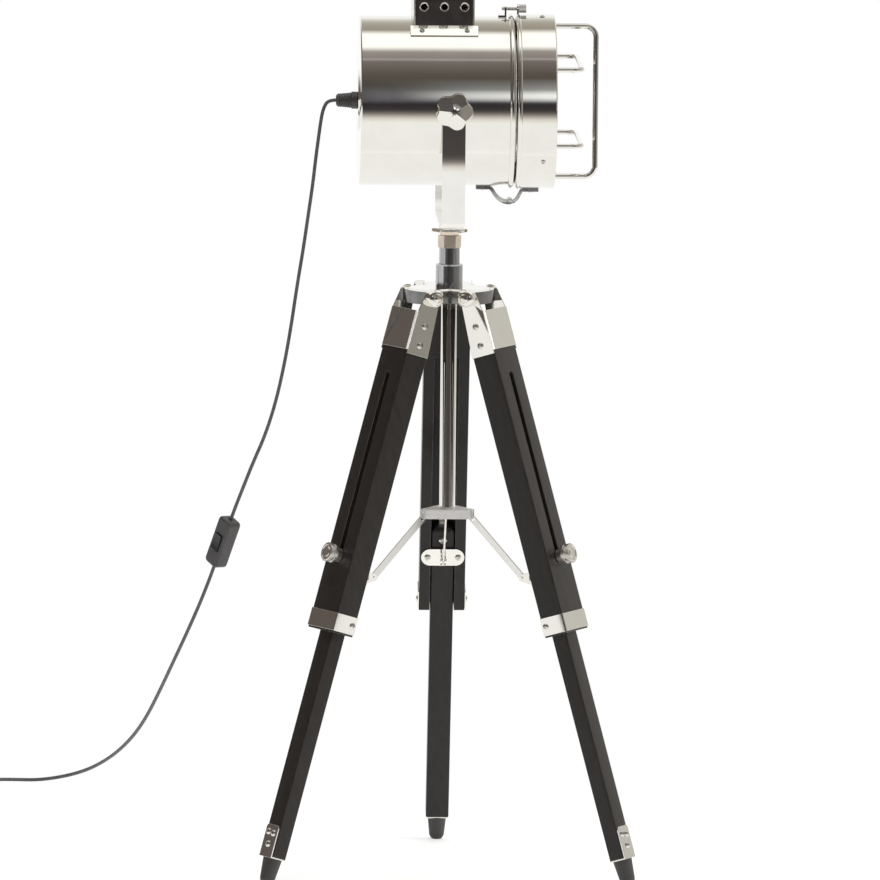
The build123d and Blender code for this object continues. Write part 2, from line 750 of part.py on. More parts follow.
with BuildPart() as rear_cover:
    with BuildSketch(head_section()):
        with BuildLine():
            Polyline(
                (drum_rear, 0),
                (drum_rear - drum_wall - rear_dish, 0),
                (drum_rear - drum_wall - rear_dish, rear_dish_radius),
                (drum_rear - drum_wall, rear_dish_radius + 2 * rear_dish),
                (drum_rear - drum_wall, drum_radius - drum_wall),
                (drum_rear, drum_radius),
                (drum_rear, drum_radius - drum_wall),
                (drum_rear + rear_lip, drum_radius - drum_wall),
                (drum_rear + rear_lip, drum_radius - 2 * drum_wall),
                (drum_rear, drum_radius - 2 * drum_wall),
                close=True,
            )
        make_face()
    revolve(axis=drum_axis)
    with BuildSketch(head_face(drum_rear)):
        Circle(cord_radius + 0.6)
    extrude(amount=-2 * (drum_wall + rear_dish), mode=Mode.SUBTRACT)
save(rear_cover, "rear_cover")

gland_seat = drum_rear - drum_wall - rear_dish
gland_exit = gland_seat - gland_flange_length - gland_length
with BuildPart() as cord_gland:
    with BuildSketch(head_face(gland_seat)):
        Circle(gland_flange_radius)
    extrude(amount=-gland_flange_length)
    with BuildSketch(head_face(gland_seat - gland_flange_length)):
        Circle(gland_radius)
    extrude(amount=-gland_length)
    fillet(cord_gland.edges().sort_by(Axis.X)[0], gland_round)
    with BuildSketch(head_face(gland_seat)):
        Circle(cord_radius + 0.3)
    extrude(amount=-gland_flange_length - gland_length + 1.0, mode=Mode.SUBTRACT)
save(cord_gland, "cord_gland")

# The vent is a folded box over a hole in the drum, with a curved flange that is screwed down.
with BuildPart() as vent_box:
    with BuildSketch(Plane(origin=pivot + Vector(vent_middle, 0, 0))):
        RectangleRounded(vent_length, 2 * vent_half_width, vent_round)
    extrude(amount=vent_top)
    fillet(vent_box.faces().sort_by(Axis.Z)[-1].edges(), vent_round)
    with BuildSketch(Plane(origin=pivot + Vector(vent_middle, 0, 0))):
        RectangleRounded(vent_length - 2 * vent_wall, 2 * (vent_half_width - vent_wall), vent_round - vent_wall)
    extrude(amount=vent_top - vent_wall, mode=Mode.SUBTRACT)
    with BuildSketch(head_face(vent_middle - vent_flange_length / 2)):
        Circle(drum_radius + vent_wall)
        Rectangle(2 * vent_flange_half, drum_radius + 2 * vent_wall, align=(Align.CENTER, Align.MIN),
                  mode=Mode.INTERSECT)
        Rectangle(2 * (vent_half_width - vent_wall), vent_top, align=(Align.CENTER, Align.MIN),
                  mode=Mode.SUBTRACT)
    extrude(amount=vent_flange_length)
    with BuildSketch(head_face(vent_middle - vent_flange_length)):
        Circle(drum_radius)
    extrude(amount=2 * vent_flange_length, mode=Mode.SUBTRACT)
    for way in (-1, 1):
        with BuildSketch(head_section(way * vent_half_width)):
            with Locations((vent_middle, vent_hole_height)):
                with GridLocations(vent_hole_spacing, 1, 3, 1):
                    Circle(vent_ring_radius)
        extrude(amount=-way * vent_ring_stand)
        with BuildSketch(head_section(way * (vent_half_width + 2 * vent_ring_stand))):
            with Locations((vent_middle, vent_hole_height)):
                with GridLocations(vent_hole_spacing, 1, 3, 1):
                    Circle(vent_hole_radius)
        extrude(amount=way * 6 * vent_ring_stand, mode=Mode.SUBTRACT)
save(vent_box, "vent_box")


def dish_x(radius):
    """Where the reflector's front surface lies at a radius from the axis."""
    return reflector_vertex + radius**2 / (4 * reflector_focus)


reflector_rim = drum_radius - drum_wall - moving_gap
dish_radii = (reflector_neck, (reflector_neck + reflector_rim) / 2, reflector_rim)
with BuildPart() as reflector:
    with BuildSketch(head_section()):
        with BuildLine():
            front = ThreePointArc(*[(dish_x(radius), radius) for radius in dish_radii])
            rear = ThreePointArc(*[(dish_x(radius) - reflector_wall, radius) for radius in dish_radii])
            Line(front @ 0, rear @ 0)
            Line(front @ 1, rear @ 1)
        make_face()
    revolve(axis=drum_axis)
save(reflector, "reflector")

with BuildPart() as lampholder:
    with BuildSketch(head_face(drum_rear)):
        Circle(socket_radius)
    extrude(amount=socket_front - drum_rear)
    with BuildSketch(head_face(socket_front)):
        Circle(bulb_cap_radius + running_fit)
    extrude(amount=-socket_depth, mode=Mode.SUBTRACT)
save(lampholder, "lampholder")

with BuildPart() as bulb:
    with BuildSketch(head_face(socket_front - bulb_cap_length)):
        Circle(bulb_cap_radius)
    extrude(amount=bulb_cap_length + bulb_shoulder)
    with BuildSketch(head_face(socket_front + bulb_shoulder)):
        Circle(bulb_cap_radius + 1.0)
    with BuildSketch(head_face(bulb_middle - bulb_radius * bulb_throat_back)):
        Circle(bulb_radius * bulb_throat)
    loft()
    with BuildSketch(head_section()):
        with Locations((bulb_middle, 0)):
            Circle(bulb_radius)
            Rectangle(2 * bulb_radius, 2 * bulb_radius, align=(Align.CENTER, Align.MAX), mode=Mode.SUBTRACT)
    revolve(axis=drum_axis)
save(bulb, "bulb")


# ---------------------------------------------------------------- door ring, lens and guards
annulus_back = ring_front - ring_wall
with BuildPart() as door_ring:
    with BuildSketch(head_section()):
        with Locations((ring_rear, ring_radius)):
            Rectangle(ring_front - ring_rear, ring_wall, align=(Align.MIN, Align.MAX))
        with Locations((ring_rear + ring_bead / 2, ring_radius - ring_wall)):
            Circle(ring_bead / 2)
        with Locations((ring_front, ring_radius)):
            Rectangle(ring_wall, ring_radius - ring_opening, align=(Align.MAX, Align.MAX))
    revolve(axis=drum_axis)
    front_rim = door_ring.edges().filter_by(GeomType.CIRCLE).group_by(Axis.X)[-1].sort_by(SortBy.RADIUS)[-1]
    fillet(front_rim, 1.4)
    with BuildSketch(head_face(door_ear_at)):
        with Locations((0, ring_radius - ring_wall)):
            Rectangle(latch_ear_width, latch_height - ring_radius + ring_wall, align=(Align.CENTER, Align.MIN))
        with Locations((0, latch_height)):
            Circle(latch_ear_width / 2)
            Circle(latch_shaft_radius + running_fit, mode=Mode.SUBTRACT)
    extrude(amount=latch_ear)
save(door_ring, "door_ring")

lens_radius = ring_radius - ring_wall - lens_fit
lens_bulge = 4.0
with BuildPart() as lens:
    with BuildSketch(head_section()):
        with BuildLine():
            back = annulus_back - lens_thickness
            edge = annulus_back
            middle = annulus_back + lens_bulge
            Polyline((middle, 0), (back, 0), (back, lens_radius), (edge, lens_radius), (edge, ring_opening - 1))
            bulge_radius = ((ring_opening - 1) ** 2 + lens_bulge**2) / (2 * lens_bulge)
            RadiusArc((edge, ring_opening - 1), (middle, 0), bulge_radius)
        make_face()
    revolve(axis=drum_axis)
save(lens, "lens")


def bent_guard(plane, reach, half, bend, radius):
    """One round rod, out of the ring's face, across in front of the lens and back."""
    with BuildPart() as guard:
        with BuildLine(plane) as line:
            FilletPolyline(
                (ring_front, -half), (reach, -half), (reach, half), (ring_front, half), radius=bend
            )
        with BuildSketch(Plane(origin=line.line @ 0, z_dir=line.line % 0)):
            Circle(radius)
        sweep(path=line.line)
    return guard.part


side_planes = [Plane(origin=pivot + Vector(0, 0, way * side_guard_height)) for way in (-1, 1)]
guards = [bent_guard(head_section(), guard_reach, guard_half, guard_bend, guard_rod)]
for plane in side_planes:
    guards.append(bent_guard(plane, side_guard_reach, side_guard_half, side_guard_bend, side_guard_rod))
lens_guard = Compound(children=guards)
lens_guard.label = "lens_guard"
export_step(lens_guard, "parts/lens_guard.step")


# ---------------------------------------------------------------- door hinge and latch
def hinge_leaf(near, far, seat, knuckles):
    """Build a leaf with its knuckles, given the middles and widths of those along the pin."""
    inner = far if abs(far - hinge_pin_x) < abs(near - hinge_pin_x) else near
    towards = 1 if inner < hinge_pin_x else -1
    with BuildPart() as leaf:
        with BuildSketch(head_section()):
            with Locations(((near + far) / 2, seat)):
                Rectangle(abs(far - near), leaf_sheet, align=(Align.CENTER, Align.MAX))
        extrude(amount=leaf_width / 2, both=True)
        for middle, width in knuckles:
            section = head_section(middle)
            with BuildSketch(section):
                with Locations((inner - towards * leaf_sheet / 2, seat - leaf_sheet / 2)):
                    Circle(leaf_sheet / 2)
                with Locations((hinge_pin_x - towards * (knuckle_radius - leaf_sheet / 2), -hinge_pin_drop)):
                    Circle(leaf_sheet / 2)
                make_hull()
                with Locations((hinge_pin_x, -hinge_pin_drop)):
                    Circle(knuckle_radius)
                    Circle(hinge_pin_radius + running_fit, mode=Mode.SUBTRACT)
            extrude(amount=width / 2, both=True)
    return leaf


outer_knuckle = (leaf_width - middle_knuckle) / 2 - moving_gap
outer_middle = (middle_knuckle + outer_knuckle) / 2 + moving_gap
drum_leaf = hinge_leaf(
    drum_leaf_rear, drum_leaf_front, -drum_radius, [(-outer_middle, outer_knuckle), (outer_middle, outer_knuckle)]
)
with BuildPart() as hinge_pin:
    with BuildSketch(head_section(leaf_width / 2)):
        with Locations((hinge_pin_x, -hinge_pin_drop)):
            Circle(hinge_pin_radius)
    extrude(amount=leaf_width)
    for way in (-1, 1):
        with BuildSketch(head_section(way * leaf_width / 2)):
            with Locations((hinge_pin_x, -hinge_pin_drop)):
                Circle(hinge_pin_radius * 1.6)
        extrude(amount=-way * 1.0)
drum_hinge = Compound(children=[drum_leaf.part, hinge_pin.part])
drum_hinge.label = "drum_hinge_leaf"
export_step(drum_hinge, "parts/drum_hinge_leaf.step")

door_leaf = hinge_leaf(door_leaf_rear, door_leaf_front, -ring_radius, [(0.0, middle_knuckle)])
save(door_leaf, "door_hinge_leaf")

with BuildPart() as latch_bracket:
    with BuildSketch(head_section()):
        with Locations((drum_ear_at, drum_radius)):
            Rectangle(latch_foot, latch_ear, align=(Align.MAX, Align.MIN))
    extrude(amount=latch_ear_width / 2, both=True)
    with BuildSketch(head_face(drum_ear_at - latch_ear)):
        with Locations((0, drum_radius)):
            Rectangle(latch_ear_width, latch_height + latch_shaft_radius - drum_radius,
                      align=(Align.CENTER, Align.MIN))
        with Locations((0, latch_height)):
            Circle(latch_shaft_radius + latch_slot_play, mode=Mode.SUBTRACT)
            Rectangle(2 * (latch_shaft_radius + latch_slot_play), latch_ear_width,
                      align=(Align.CENTER, Align.MIN), mode=Mode.SUBTRACT)
    extrude(amount=latch_ear)
save(latch_bracket, "latch_bracket")

latch_seat = door_ear_at + latch_ear + moving_gap
with BuildPart() as latch_screw:
    with BuildSketch(head_face(drum_ear_at - latch_ear - latch_shaft_spare)):
        with Locations((0, latch_height)):
            Circle(latch_shaft_radius)
    extrude(amount=latch_seat - drum_ear_at + latch_ear + latch_shaft_spare)
    with BuildSketch(head_face(latch_seat)):
        with Locations((0, latch_height)):
            Circle(latch_knob_radius)
            with PolarLocations(latch_knob_radius, latch_knob_grooves):
                Rectangle(latch_knob_groove, latch_knob_groove, rotation=45, mode=Mode.SUBTRACT)
    extrude(amount=latch_knob_length)
save(latch_screw, "latch_screw")


# ---------------------------------------------------------------- cord, switch, coil and plug
# The cord hangs from the gland to the floor, through the switch, and runs off to its coil.
switch_in = Vector(-233, 104, 371)
switch_out = Vector(-252, 124, 311)
cord_route = [
    (column_x + gland_exit, column_y, pivot_height),
    (column_x + gland_exit - 8.5, column_y, pivot_height),
    (-140, -54.5, 844),
    (-142.5, -52.7, 830.9),
    (-145, -48.7, 810),
    (-147.7, -44.7, 787),
    (-150.5, -39.7, 758),
    (-155, -32.7, 723.5),
    (-160, -23.7, 684),
    (-166, -13.7, 643.5),
    (-172, -0.7, 596),
    (-178.5, 13.3, 553),
    (-187, 30.3, 509),
    (-198, 49.3, 469),
    (-211, 70.3, 435),
    (-222, 88.3, 403),
    tuple(switch_in),
    tuple(switch_out),
    (-264, 144.3, 274.5),
    (-277, 169.3, 239),
    (-289.5, 203.3, 205),
    (-301, 244.3, 172),
    (-311.5, 291.3, 140.5),
    (-322, 339.3, 111),
    (-334, 391.3, 84),
    (-348.5, 443.3, 60),
    (-365, 493.3, 39.5),
    (-385, 539.3, 22),
    (-410, 575.3, 9.5),
    (-439, 597, 2.1),
    (-468, 602, 2.1),
    (-497, 600, 2.1),
    (-526, 597, 2.1),
]

corners = [Vector(point) for point in cord_route]
runs = [after - before for before, after in zip(corners, corners[1:])]
bend_radii = []
for before, after in zip(runs, runs[1:]):
    turn = before.get_angle(after)
    bend_radii.append(0.45 * min(before.length, after.length) / tan(radians(turn / 2)))
print("cord bend radii", [round(radius) for radius in bend_radii])
print("cord runs", [round(run.length) for run in runs])

with BuildPart() as cord:
    with BuildLine() as cord_line:
        cord_path = FilletPolyline(*corners, radius=bend_radii)
    with BuildSketch(Plane(origin=cord_path @ 0, z_dir=cord_path % 0)):
        Circle(cord_radius)
    sweep()
tube_length = sum(edge.length for edge in cord_path.edges())
print(f"cord tube {tube_length:.0f} mm, volume over section {cord.part.volume / (pi * cord_radius**2):.0f}")
save(cord, "cord")

coil_middle = Vector(cord_route[-1][0] - 3, cord_route[-1][1] - coil_radius, 0)
with BuildPart() as cord_coil:
    with BuildSketch(Plane(origin=coil_middle)):
        Circle(coil_radius + coil_half_width)
        Circle(coil_radius - coil_half_width, mode=Mode.SUBTRACT)
    extrude(amount=coil_height)
    chamfer(cord_coil.edges().filter_by(GeomType.CIRCLE), cord_radius)
save(cord_coil, "cord_coil")

coil_edge = coil_radius + coil_half_width
plug_start = coil_middle.X - sqrt(coil_edge**2 - (coil_radius - plug_boot) ** 2) - moving_gap
plug_plane = Plane(origin=(plug_start, coil_middle.Y + coil_radius, 0), x_dir=(0, -1, 0), z_dir=(-1, 0, 0))
with BuildPart() as plug:
    with BuildSketch(plug_plane):
        with Locations((0, plug_axis_height)):
            Circle(plug_boot)
    with BuildSketch(plug_plane.offset(plug_neck_length)):
        with Locations((0, plug_axis_height)):
            RectangleRounded(*plug_grip, plug_round)
    loft()
    with BuildSketch(plug_plane.offset(plug_neck_length)):
        with Locations((0, plug_axis_height)):
            RectangleRounded(*plug_grip, plug_round)
    with BuildSketch(plug_plane.offset(plug_length)):
        with Locations((0, plug_axis_height)):
            RectangleRounded(*plug_face, plug_round)
    loft()
    with BuildSketch(plug_plane.offset(plug_length)):
        with Locations((0, plug_axis_height)):
            with GridLocations(plug_pins_apart, 1, 2, 1):
                Rectangle(*plug_pin)
    extrude(amount=plug_pin_length)
save(plug, "plug")

# The switch is two moulded halves round the cord, with a rocker in its broad face.
along = (switch_out - switch_in).normalized()
rocker_way = Vector(-0.80, -0.60, 0)
rocker_way = (rocker_way - along * rocker_way.dot(along)).normalized()
switch_middle = (switch_in + switch_out) * 0.5
switch_plane = Plane(origin=switch_middle, x_dir=along, z_dir=rocker_way)
with BuildPart() as switch_body:
    with BuildSketch(switch_plane.offset(-switch_depth / 2)):
        RectangleRounded(switch_length - 2.0, switch_width, switch_corner)
    extrude(amount=switch_depth)
    for face in (-1, 0):
        fillet(switch_body.faces().sort_by(Axis(switch_middle, rocker_way))[face].edges(), switch_edge)
    with BuildSketch(switch_plane.offset(switch_depth / 2 - rocker_sink)):
        Rectangle(rocker_length + 2 * moving_gap, rocker_width + 2 * moving_gap)
    extrude(amount=rocker_sink + 1, mode=Mode.SUBTRACT)
    with BuildSketch(Plane(origin=switch_in - along, x_dir=rocker_way, z_dir=along)):
        Circle(switch_bore)
    extrude(amount=switch_length + 6, mode=Mode.SUBTRACT)
save(switch_body, "switch_body")

rocker_section = Plane(origin=switch_middle, x_dir=along, z_dir=along.cross(rocker_way))
rocker_floor = switch_depth / 2 - rocker_sink + moving_gap
rocker_top = switch_depth / 2 + rocker_stand
rocker_lift = rocker_length / 2 * tan(radians(rocker_tip))
with BuildPart() as rocker:
    with BuildSketch(rocker_section):
        Polygon(
            (-rocker_length / 2 + rocker_taper, rocker_floor + rocker_lift),
            (0, rocker_floor),
            (rocker_length / 2 - rocker_taper, rocker_floor + rocker_lift),
            (rocker_length / 2, switch_depth / 2),
            (rocker_length / 2, rocker_top),
            (0, rocker_top - rocker_dip),
            (-rocker_length / 2, rocker_top),
            (-rocker_length / 2, switch_depth / 2),
            align=None,
        )
    extrude(amount=rocker_width / 2, both=True)
save(rocker, "rocker")
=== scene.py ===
import bmesh
import bpy
from math import cos, pi, radians, sin, tan
from mathutils import Matrix, Vector


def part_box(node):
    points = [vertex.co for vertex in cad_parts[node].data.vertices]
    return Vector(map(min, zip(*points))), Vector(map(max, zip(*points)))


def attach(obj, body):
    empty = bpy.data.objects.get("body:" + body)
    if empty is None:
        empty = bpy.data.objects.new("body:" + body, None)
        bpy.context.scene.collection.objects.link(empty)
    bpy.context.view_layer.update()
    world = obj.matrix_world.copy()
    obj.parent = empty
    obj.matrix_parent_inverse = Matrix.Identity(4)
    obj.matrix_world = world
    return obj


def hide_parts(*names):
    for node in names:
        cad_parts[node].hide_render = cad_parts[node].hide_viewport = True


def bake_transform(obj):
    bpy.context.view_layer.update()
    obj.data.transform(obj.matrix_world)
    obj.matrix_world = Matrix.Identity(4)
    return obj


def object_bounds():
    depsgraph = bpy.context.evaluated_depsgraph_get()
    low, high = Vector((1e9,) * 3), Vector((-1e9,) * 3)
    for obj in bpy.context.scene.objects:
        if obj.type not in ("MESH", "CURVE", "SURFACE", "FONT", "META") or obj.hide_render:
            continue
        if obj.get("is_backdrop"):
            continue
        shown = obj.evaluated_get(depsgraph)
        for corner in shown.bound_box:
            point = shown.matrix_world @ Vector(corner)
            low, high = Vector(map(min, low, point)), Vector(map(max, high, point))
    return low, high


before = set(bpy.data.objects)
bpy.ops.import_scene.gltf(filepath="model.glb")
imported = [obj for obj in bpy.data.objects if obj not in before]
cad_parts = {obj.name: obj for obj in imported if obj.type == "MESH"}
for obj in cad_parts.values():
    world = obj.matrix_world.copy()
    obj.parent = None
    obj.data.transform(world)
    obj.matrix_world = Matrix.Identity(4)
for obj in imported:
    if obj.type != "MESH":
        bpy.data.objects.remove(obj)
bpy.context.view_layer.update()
scene = bpy.context.scene
scene.view_settings.view_transform = "Standard"

# ---- Studio
# White paper behind and under the lamp, a white softbox overhead, and a dark room behind the camera, darker
# on its left, for the polished plate to mirror. A light card in front on the right and a white one under the
# drum are seen only in the plate.
room_ramp = (
    (0.000, (1.00, 0.99, 0.97)), (0.434, (1.00, 0.98, 0.94)), (0.448, (0.80, 0.77, 0.73)),
    (0.4635, (0.32, 0.29, 0.27)), (0.472, (0.140, 0.126, 0.120)), (0.482, (0.048, 0.042, 0.043)),
    (0.503, (0.032, 0.028, 0.033)), (0.516, (0.100, 0.093, 0.112)), (0.552, (0.105, 0.100, 0.107)),
    (0.575, (0.076, 0.067, 0.060)), (0.620, (0.120, 0.101, 0.088)), (0.671, (0.205, 0.178, 0.170)),
    (0.677, (0.480, 0.440, 0.420)), (0.684, (0.280, 0.250, 0.240)), (0.712, (0.370, 0.340, 0.325)),
    (0.736, (1.30, 1.29, 1.27)), (0.798, (1.30, 1.29, 1.27)), (0.828, (0.370, 0.330, 0.280)),
    (0.880, (0.475, 0.450, 0.400)), (0.950, (1.00, 0.99, 0.98)), (1.000, (1.00, 0.99, 0.98)),
)
wall_left, wall_right_front, wall_right_back = (0.125, 0.104, 0.095), (0.300, 0.285, 0.260), (0.620, 0.605, 0.575)


def emptied(owner):
    """The nodes and links of a world or a material whose stock nodes are cleared away."""
    owner.use_nodes = True
    owner.node_tree.nodes.clear()
    return owner.node_tree.nodes, owner.node_tree.links


def counted(operation, *inputs, clamp=False):
    """A maths node of the tree in hand, over sockets or plain numbers."""
    node = nodes.new("ShaderNodeMath")
    node.operation, node.use_clamp = operation, clamp
    for i, value in enumerate(inputs):
        if isinstance(value, (int, float)):
            node.inputs[i].default_value = value
        else:
            links.new(value, node.inputs[i])
    return node.outputs[0]


def toned(share, low, high):
    """A mix node of the world between two colours or colour sockets."""
    node = nodes.new("ShaderNodeMix")
    node.data_type = "RGBA"
    links.new(share, node.inputs[0])
    for socket, value in ((node.inputs[6], low), (node.inputs[7], high)):
        if isinstance(value, tuple):
            socket.default_value = (*value, 1.0)
        else:
            links.new(value, socket)
    return node.outputs[2]


scene.world = bpy.data.worlds.new("studio_room")
nodes, links = emptied(scene.world)
heading = nodes.new("ShaderNodeSeparateXYZ")
links.new(nodes.new("ShaderNodeTexCoord").outputs["Generated"], heading.inputs[0])
east, north, up = heading.outputs
ramp = nodes.new("ShaderNodeValToRGB")
stops = ramp.color_ramp.elements
for i, (place, colour) in enumerate(room_ramp):
    stop = stops[i] if i < 2 else stops.new(place)
    stop.position, stop.color = place, (*colour, 1.0)
elevation = counted("ARCTAN2", up, counted("MULTIPLY", north, -1.0))
links.new(counted("MULTIPLY_ADD", elevation, 1 / (2 * pi), 0.5), ramp.inputs["Fac"])
wall_right = toned(counted("MULTIPLY_ADD", north, 2.0, 0.5, clamp=True), wall_right_front, wall_right_back)
wall = toned(counted("MULTIPLY_ADD", east, 2.0, 0.5, clamp=True), wall_left, wall_right)
sideways = counted("MULTIPLY_ADD", counted("ABSOLUTE", east), 3.3, -1.5, clamp=True)
room = nodes.new("ShaderNodeBackground")
links.new(toned(sideways, ramp.outputs["Color"], wall), room.inputs["Color"])
paper = nodes.new("ShaderNodeBackground")
paper.inputs["Color"].default_value = (1.0, 1.0, 1.0, 1.0)
rays = nodes.new("ShaderNodeLightPath").outputs
straight_back = counted("MULTIPLY_ADD", north, 10.0, -8.5, clamp=True)
shown = counted("MAXIMUM", rays["Is Camera Ray"], rays["Is Transmission Ray"])
shown = counted("MAXIMUM", shown, counted("MULTIPLY", rays["Is Glossy Ray"], straight_back))
seen = nodes.new("ShaderNodeMixShader")
links.new(shown, seen.inputs[0])
links.new(room.outputs[0], seen.inputs[1])
links.new(paper.outputs[0], seen.inputs[2])
links.new(seen.outputs[0], nodes.new("ShaderNodeOutputWorld").inputs[0])

floor_outline = [(-12.0, -9.0), (-2.0, -2.0), (3.0, -2.0), (3.0, 60.0), (-12.0, 60.0)]
floor_mesh = bpy.data.meshes.new("floor")
floor_mesh.from_pydata([(x, y, 0) for x, y in floor_outline], [], [tuple(range(len(floor_outline)))])
floor = bpy.data.objects.new("floor", floor_mesh)
scene.collection.objects.link(floor)
floor_paint = bpy.data.materials.new("floor_paint")
nodes, links = emptied(floor_paint)
matt = nodes.new("ShaderNodeBsdfDiffuse")
matt.inputs["Color"].default_value = (0.96, 0.96, 0.955, 1.0)
lit = nodes.new("ShaderNodeEmission")
lit.inputs["Color"].default_value = (1.0, 1.0, 1.0, 1.0)
spot = nodes.new("ShaderNodeVectorMath")
spot.operation = "LENGTH"
links.new(nodes.new("ShaderNodeTexCoord").outputs["Object"], spot.inputs[0])
fade = counted("MULTIPLY_ADD", spot.outputs["Value"], 1.4, 0.25, clamp=True)
rays = nodes.new("ShaderNodeLightPath").outputs
looked_at = counted("MAXIMUM", rays["Is Camera Ray"], rays["Is Glossy Ray"])
looked_at = counted("MAXIMUM", looked_at, rays["Is Transmission Ray"])
floor_mix = nodes.new("ShaderNodeMixShader")
links.new(counted("MULTIPLY", fade, looked_at), floor_mix.inputs[0])
links.new(matt.outputs[0], floor_mix.inputs[1])
links.new(lit.outputs[0], floor_mix.inputs[2])
links.new(floor_mix.outputs[0], nodes.new("ShaderNodeOutputMaterial").inputs[0])
floor_mesh.materials.append(floor_paint)
floor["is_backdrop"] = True


def mirrored_card(name, corners, place, glow):
    """A glowing card that only polished surfaces see."""
    mesh = bpy.data.meshes.new(name)
    mesh.from_pydata(corners, [], [tuple(range(len(corners)))])
    mesh.materials.append(glow)
    board = bpy.data.objects.new(name, mesh)
    scene.collection.objects.link(board)
    board.location = place
    board.visible_camera = board.visible_diffuse = board.visible_shadow = board.visible_transmission = False
    return board


card_left, card_right, card_bottom, card_top, card_distance = -0.02, 0.95, 1.00, 3.00, 3.0
card_glow = bpy.data.materials.new("card_glow")
nodes, links = emptied(card_glow)
spot = nodes.new("ShaderNodeSeparateXYZ")
links.new(nodes.new("ShaderNodeTexCoord").outputs["Object"], spot.inputs[0])
across = counted("MULTIPLY_ADD", spot.outputs["X"], 12.0, -0.60, clamp=True)
body = counted("MULTIPLY_ADD", spot.outputs["Z"], -2.0, 4.2, clamp=True)
tail = counted("MULTIPLY_ADD", spot.outputs["Z"], -0.25, 0.75, clamp=True)
foot = counted("MULTIPLY_ADD", spot.outputs["Z"], 2.9, -3.05, clamp=True)
upward = counted("MULTIPLY", foot, counted("MAXIMUM", body, tail))
bright_side = counted("MULTIPLY_ADD", spot.outputs["X"], 5.0, -0.85, clamp=True)
glow = nodes.new("ShaderNodeEmission")
glow.inputs["Color"].default_value = (0.96, 0.98, 1.0, 1.0)
links.new(counted("MULTIPLY_ADD", bright_side, 0.75, 0.84), glow.inputs["Strength"])
card_mix = nodes.new("ShaderNodeMixShader")
links.new(counted("MULTIPLY", across, upward), card_mix.inputs[0])
links.new(nodes.new("ShaderNodeBsdfTransparent").outputs[0], card_mix.inputs[1])
links.new(glow.outputs[0], card_mix.inputs[2])
links.new(card_mix.outputs[0], nodes.new("ShaderNodeOutputMaterial").inputs[0])
card_corners = [(x, 0, z) for x, z in (
    (card_left, card_bottom), (card_right, card_bottom), (card_right, card_top), (card_left, card_top),
)]
card = mirrored_card("light_card", card_corners, (0, -card_distance, 0), card_glow)
card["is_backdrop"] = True

under_left, under_right, under_front, under_back, under_height = -0.16, 0.16, -0.155, 0.10, 0.742
under_corners = [(x, y, under_height) for x, y in (
    (under_left, under_front), (under_right, under_front), (under_right, under_back), (under_left, under_back),
)]
under_glow = bpy.data.materials.new("under_glow")
nodes, links = emptied(under_glow)
glow = nodes.new("ShaderNodeEmission")
glow.inputs["Color"].default_value = (1.0, 1.0, 1.0, 1.0)
links.new(glow.outputs[0], nodes.new("ShaderNodeOutputMaterial").inputs[0])
under_card = mirrored_card("under_card", under_corners, (0, 0, 0), under_glow)
under_card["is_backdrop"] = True

for lamp_name, place, size, power in (
    ("top_lamp", (0.3, -0.4, 4.5), 3.5, 170.0),
    ("front_lamp", (-2.6, -5.2, 2.6), 1.6, 50.0),
    ("right_lamp", (4.5, -1.0, 1.6), 1.6, 150.0),
):
    lamp_data = bpy.data.lights.new(lamp_name, "AREA")
    lamp_data.size, lamp_data.energy = size, power
    lamp = bpy.data.objects.new(lamp_name, lamp_data)
    scene.collection.objects.link(lamp)
    lamp.location = place
    lamp.rotation_euler = (Vector((0, 0, 0.4)) - Vector(place)).to_track_quat("-Z", "Y").to_euler()
    lamp.visible_glossy = False

camera_turn, camera_pitch, camera_roll, camera_distance = radians(-2.1), radians(7.22), radians(0.53), 20.0
camera_aim = Vector((-0.0085, -0.0551, 0.4773))
camera_data = bpy.data.cameras.new("camera")
camera_data.sensor_width = 36.0
camera_data.lens = 36.0 * camera_distance / 0.9688
camera_data.clip_end = 200.0
camera = bpy.data.objects.new("camera", camera_data)
scene.collection.objects.link(camera)
towards = Vector((sin(camera_turn) * cos(camera_pitch), -cos(camera_turn) * cos(camera_pitch), sin(camera_pitch)))
camera.matrix_world = (
    Matrix.Translation(camera_aim + camera_distance * towards)
    @ Matrix.Rotation(camera_turn, 4, "Z")
    @ Matrix.Rotation(pi / 2 - camera_pitch, 4, "X")
    @ Matrix.Rotation(camera_roll, 4, "Z")
)
scene.camera = camera

# ---- Cord
# Round two-core flex with a dark grey sheath. It hangs from its strain relief, passes through its
# switch, sags to the floor and ends in a small neat coil with the plug beside it.
flex_radius, flex_length = 0.002, 1.8
flex_route = [
    (-0.1263, -0.0551, 0.853), (-0.1348, -0.0551, 0.853), (-0.140, -0.0545, 0.844), (-0.1425, -0.0527, 0.8309),
    (-0.145, -0.0487, 0.810), (-0.1477, -0.0447, 0.787), (-0.1505, -0.0397, 0.758), (-0.155, -0.0327, 0.7235),
    (-0.160, -0.0237, 0.684), (-0.166, -0.0137, 0.6435), (-0.172, -0.0007, 0.596), (-0.1785, 0.0133, 0.553),
    (-0.187, 0.0303, 0.509), (-0.198, 0.0493, 0.469), (-0.211, 0.0703, 0.435), (-0.222, 0.0883, 0.403),
    (-0.233, 0.104, 0.371), (-0.252, 0.124, 0.311), (-0.264, 0.1443, 0.2745), (-0.277, 0.1693, 0.239),
    (-0.2895, 0.2033, 0.205), (-0.301, 0.2443, 0.172), (-0.3115, 0.2913, 0.1405), (-0.322, 0.3393, 0.111),
    (-0.334, 0.3913, 0.084), (-0.3485, 0.4433, 0.060), (-0.365, 0.4933, 0.0395), (-0.385, 0.5393, 0.022),
    (-0.410, 0.5753, 0.0095), (-0.439, 0.597, 0.0021), (-0.468, 0.602, 0.0021), (-0.497, 0.600, 0.0021),
    (-0.526, 0.597, 0.0021),
]
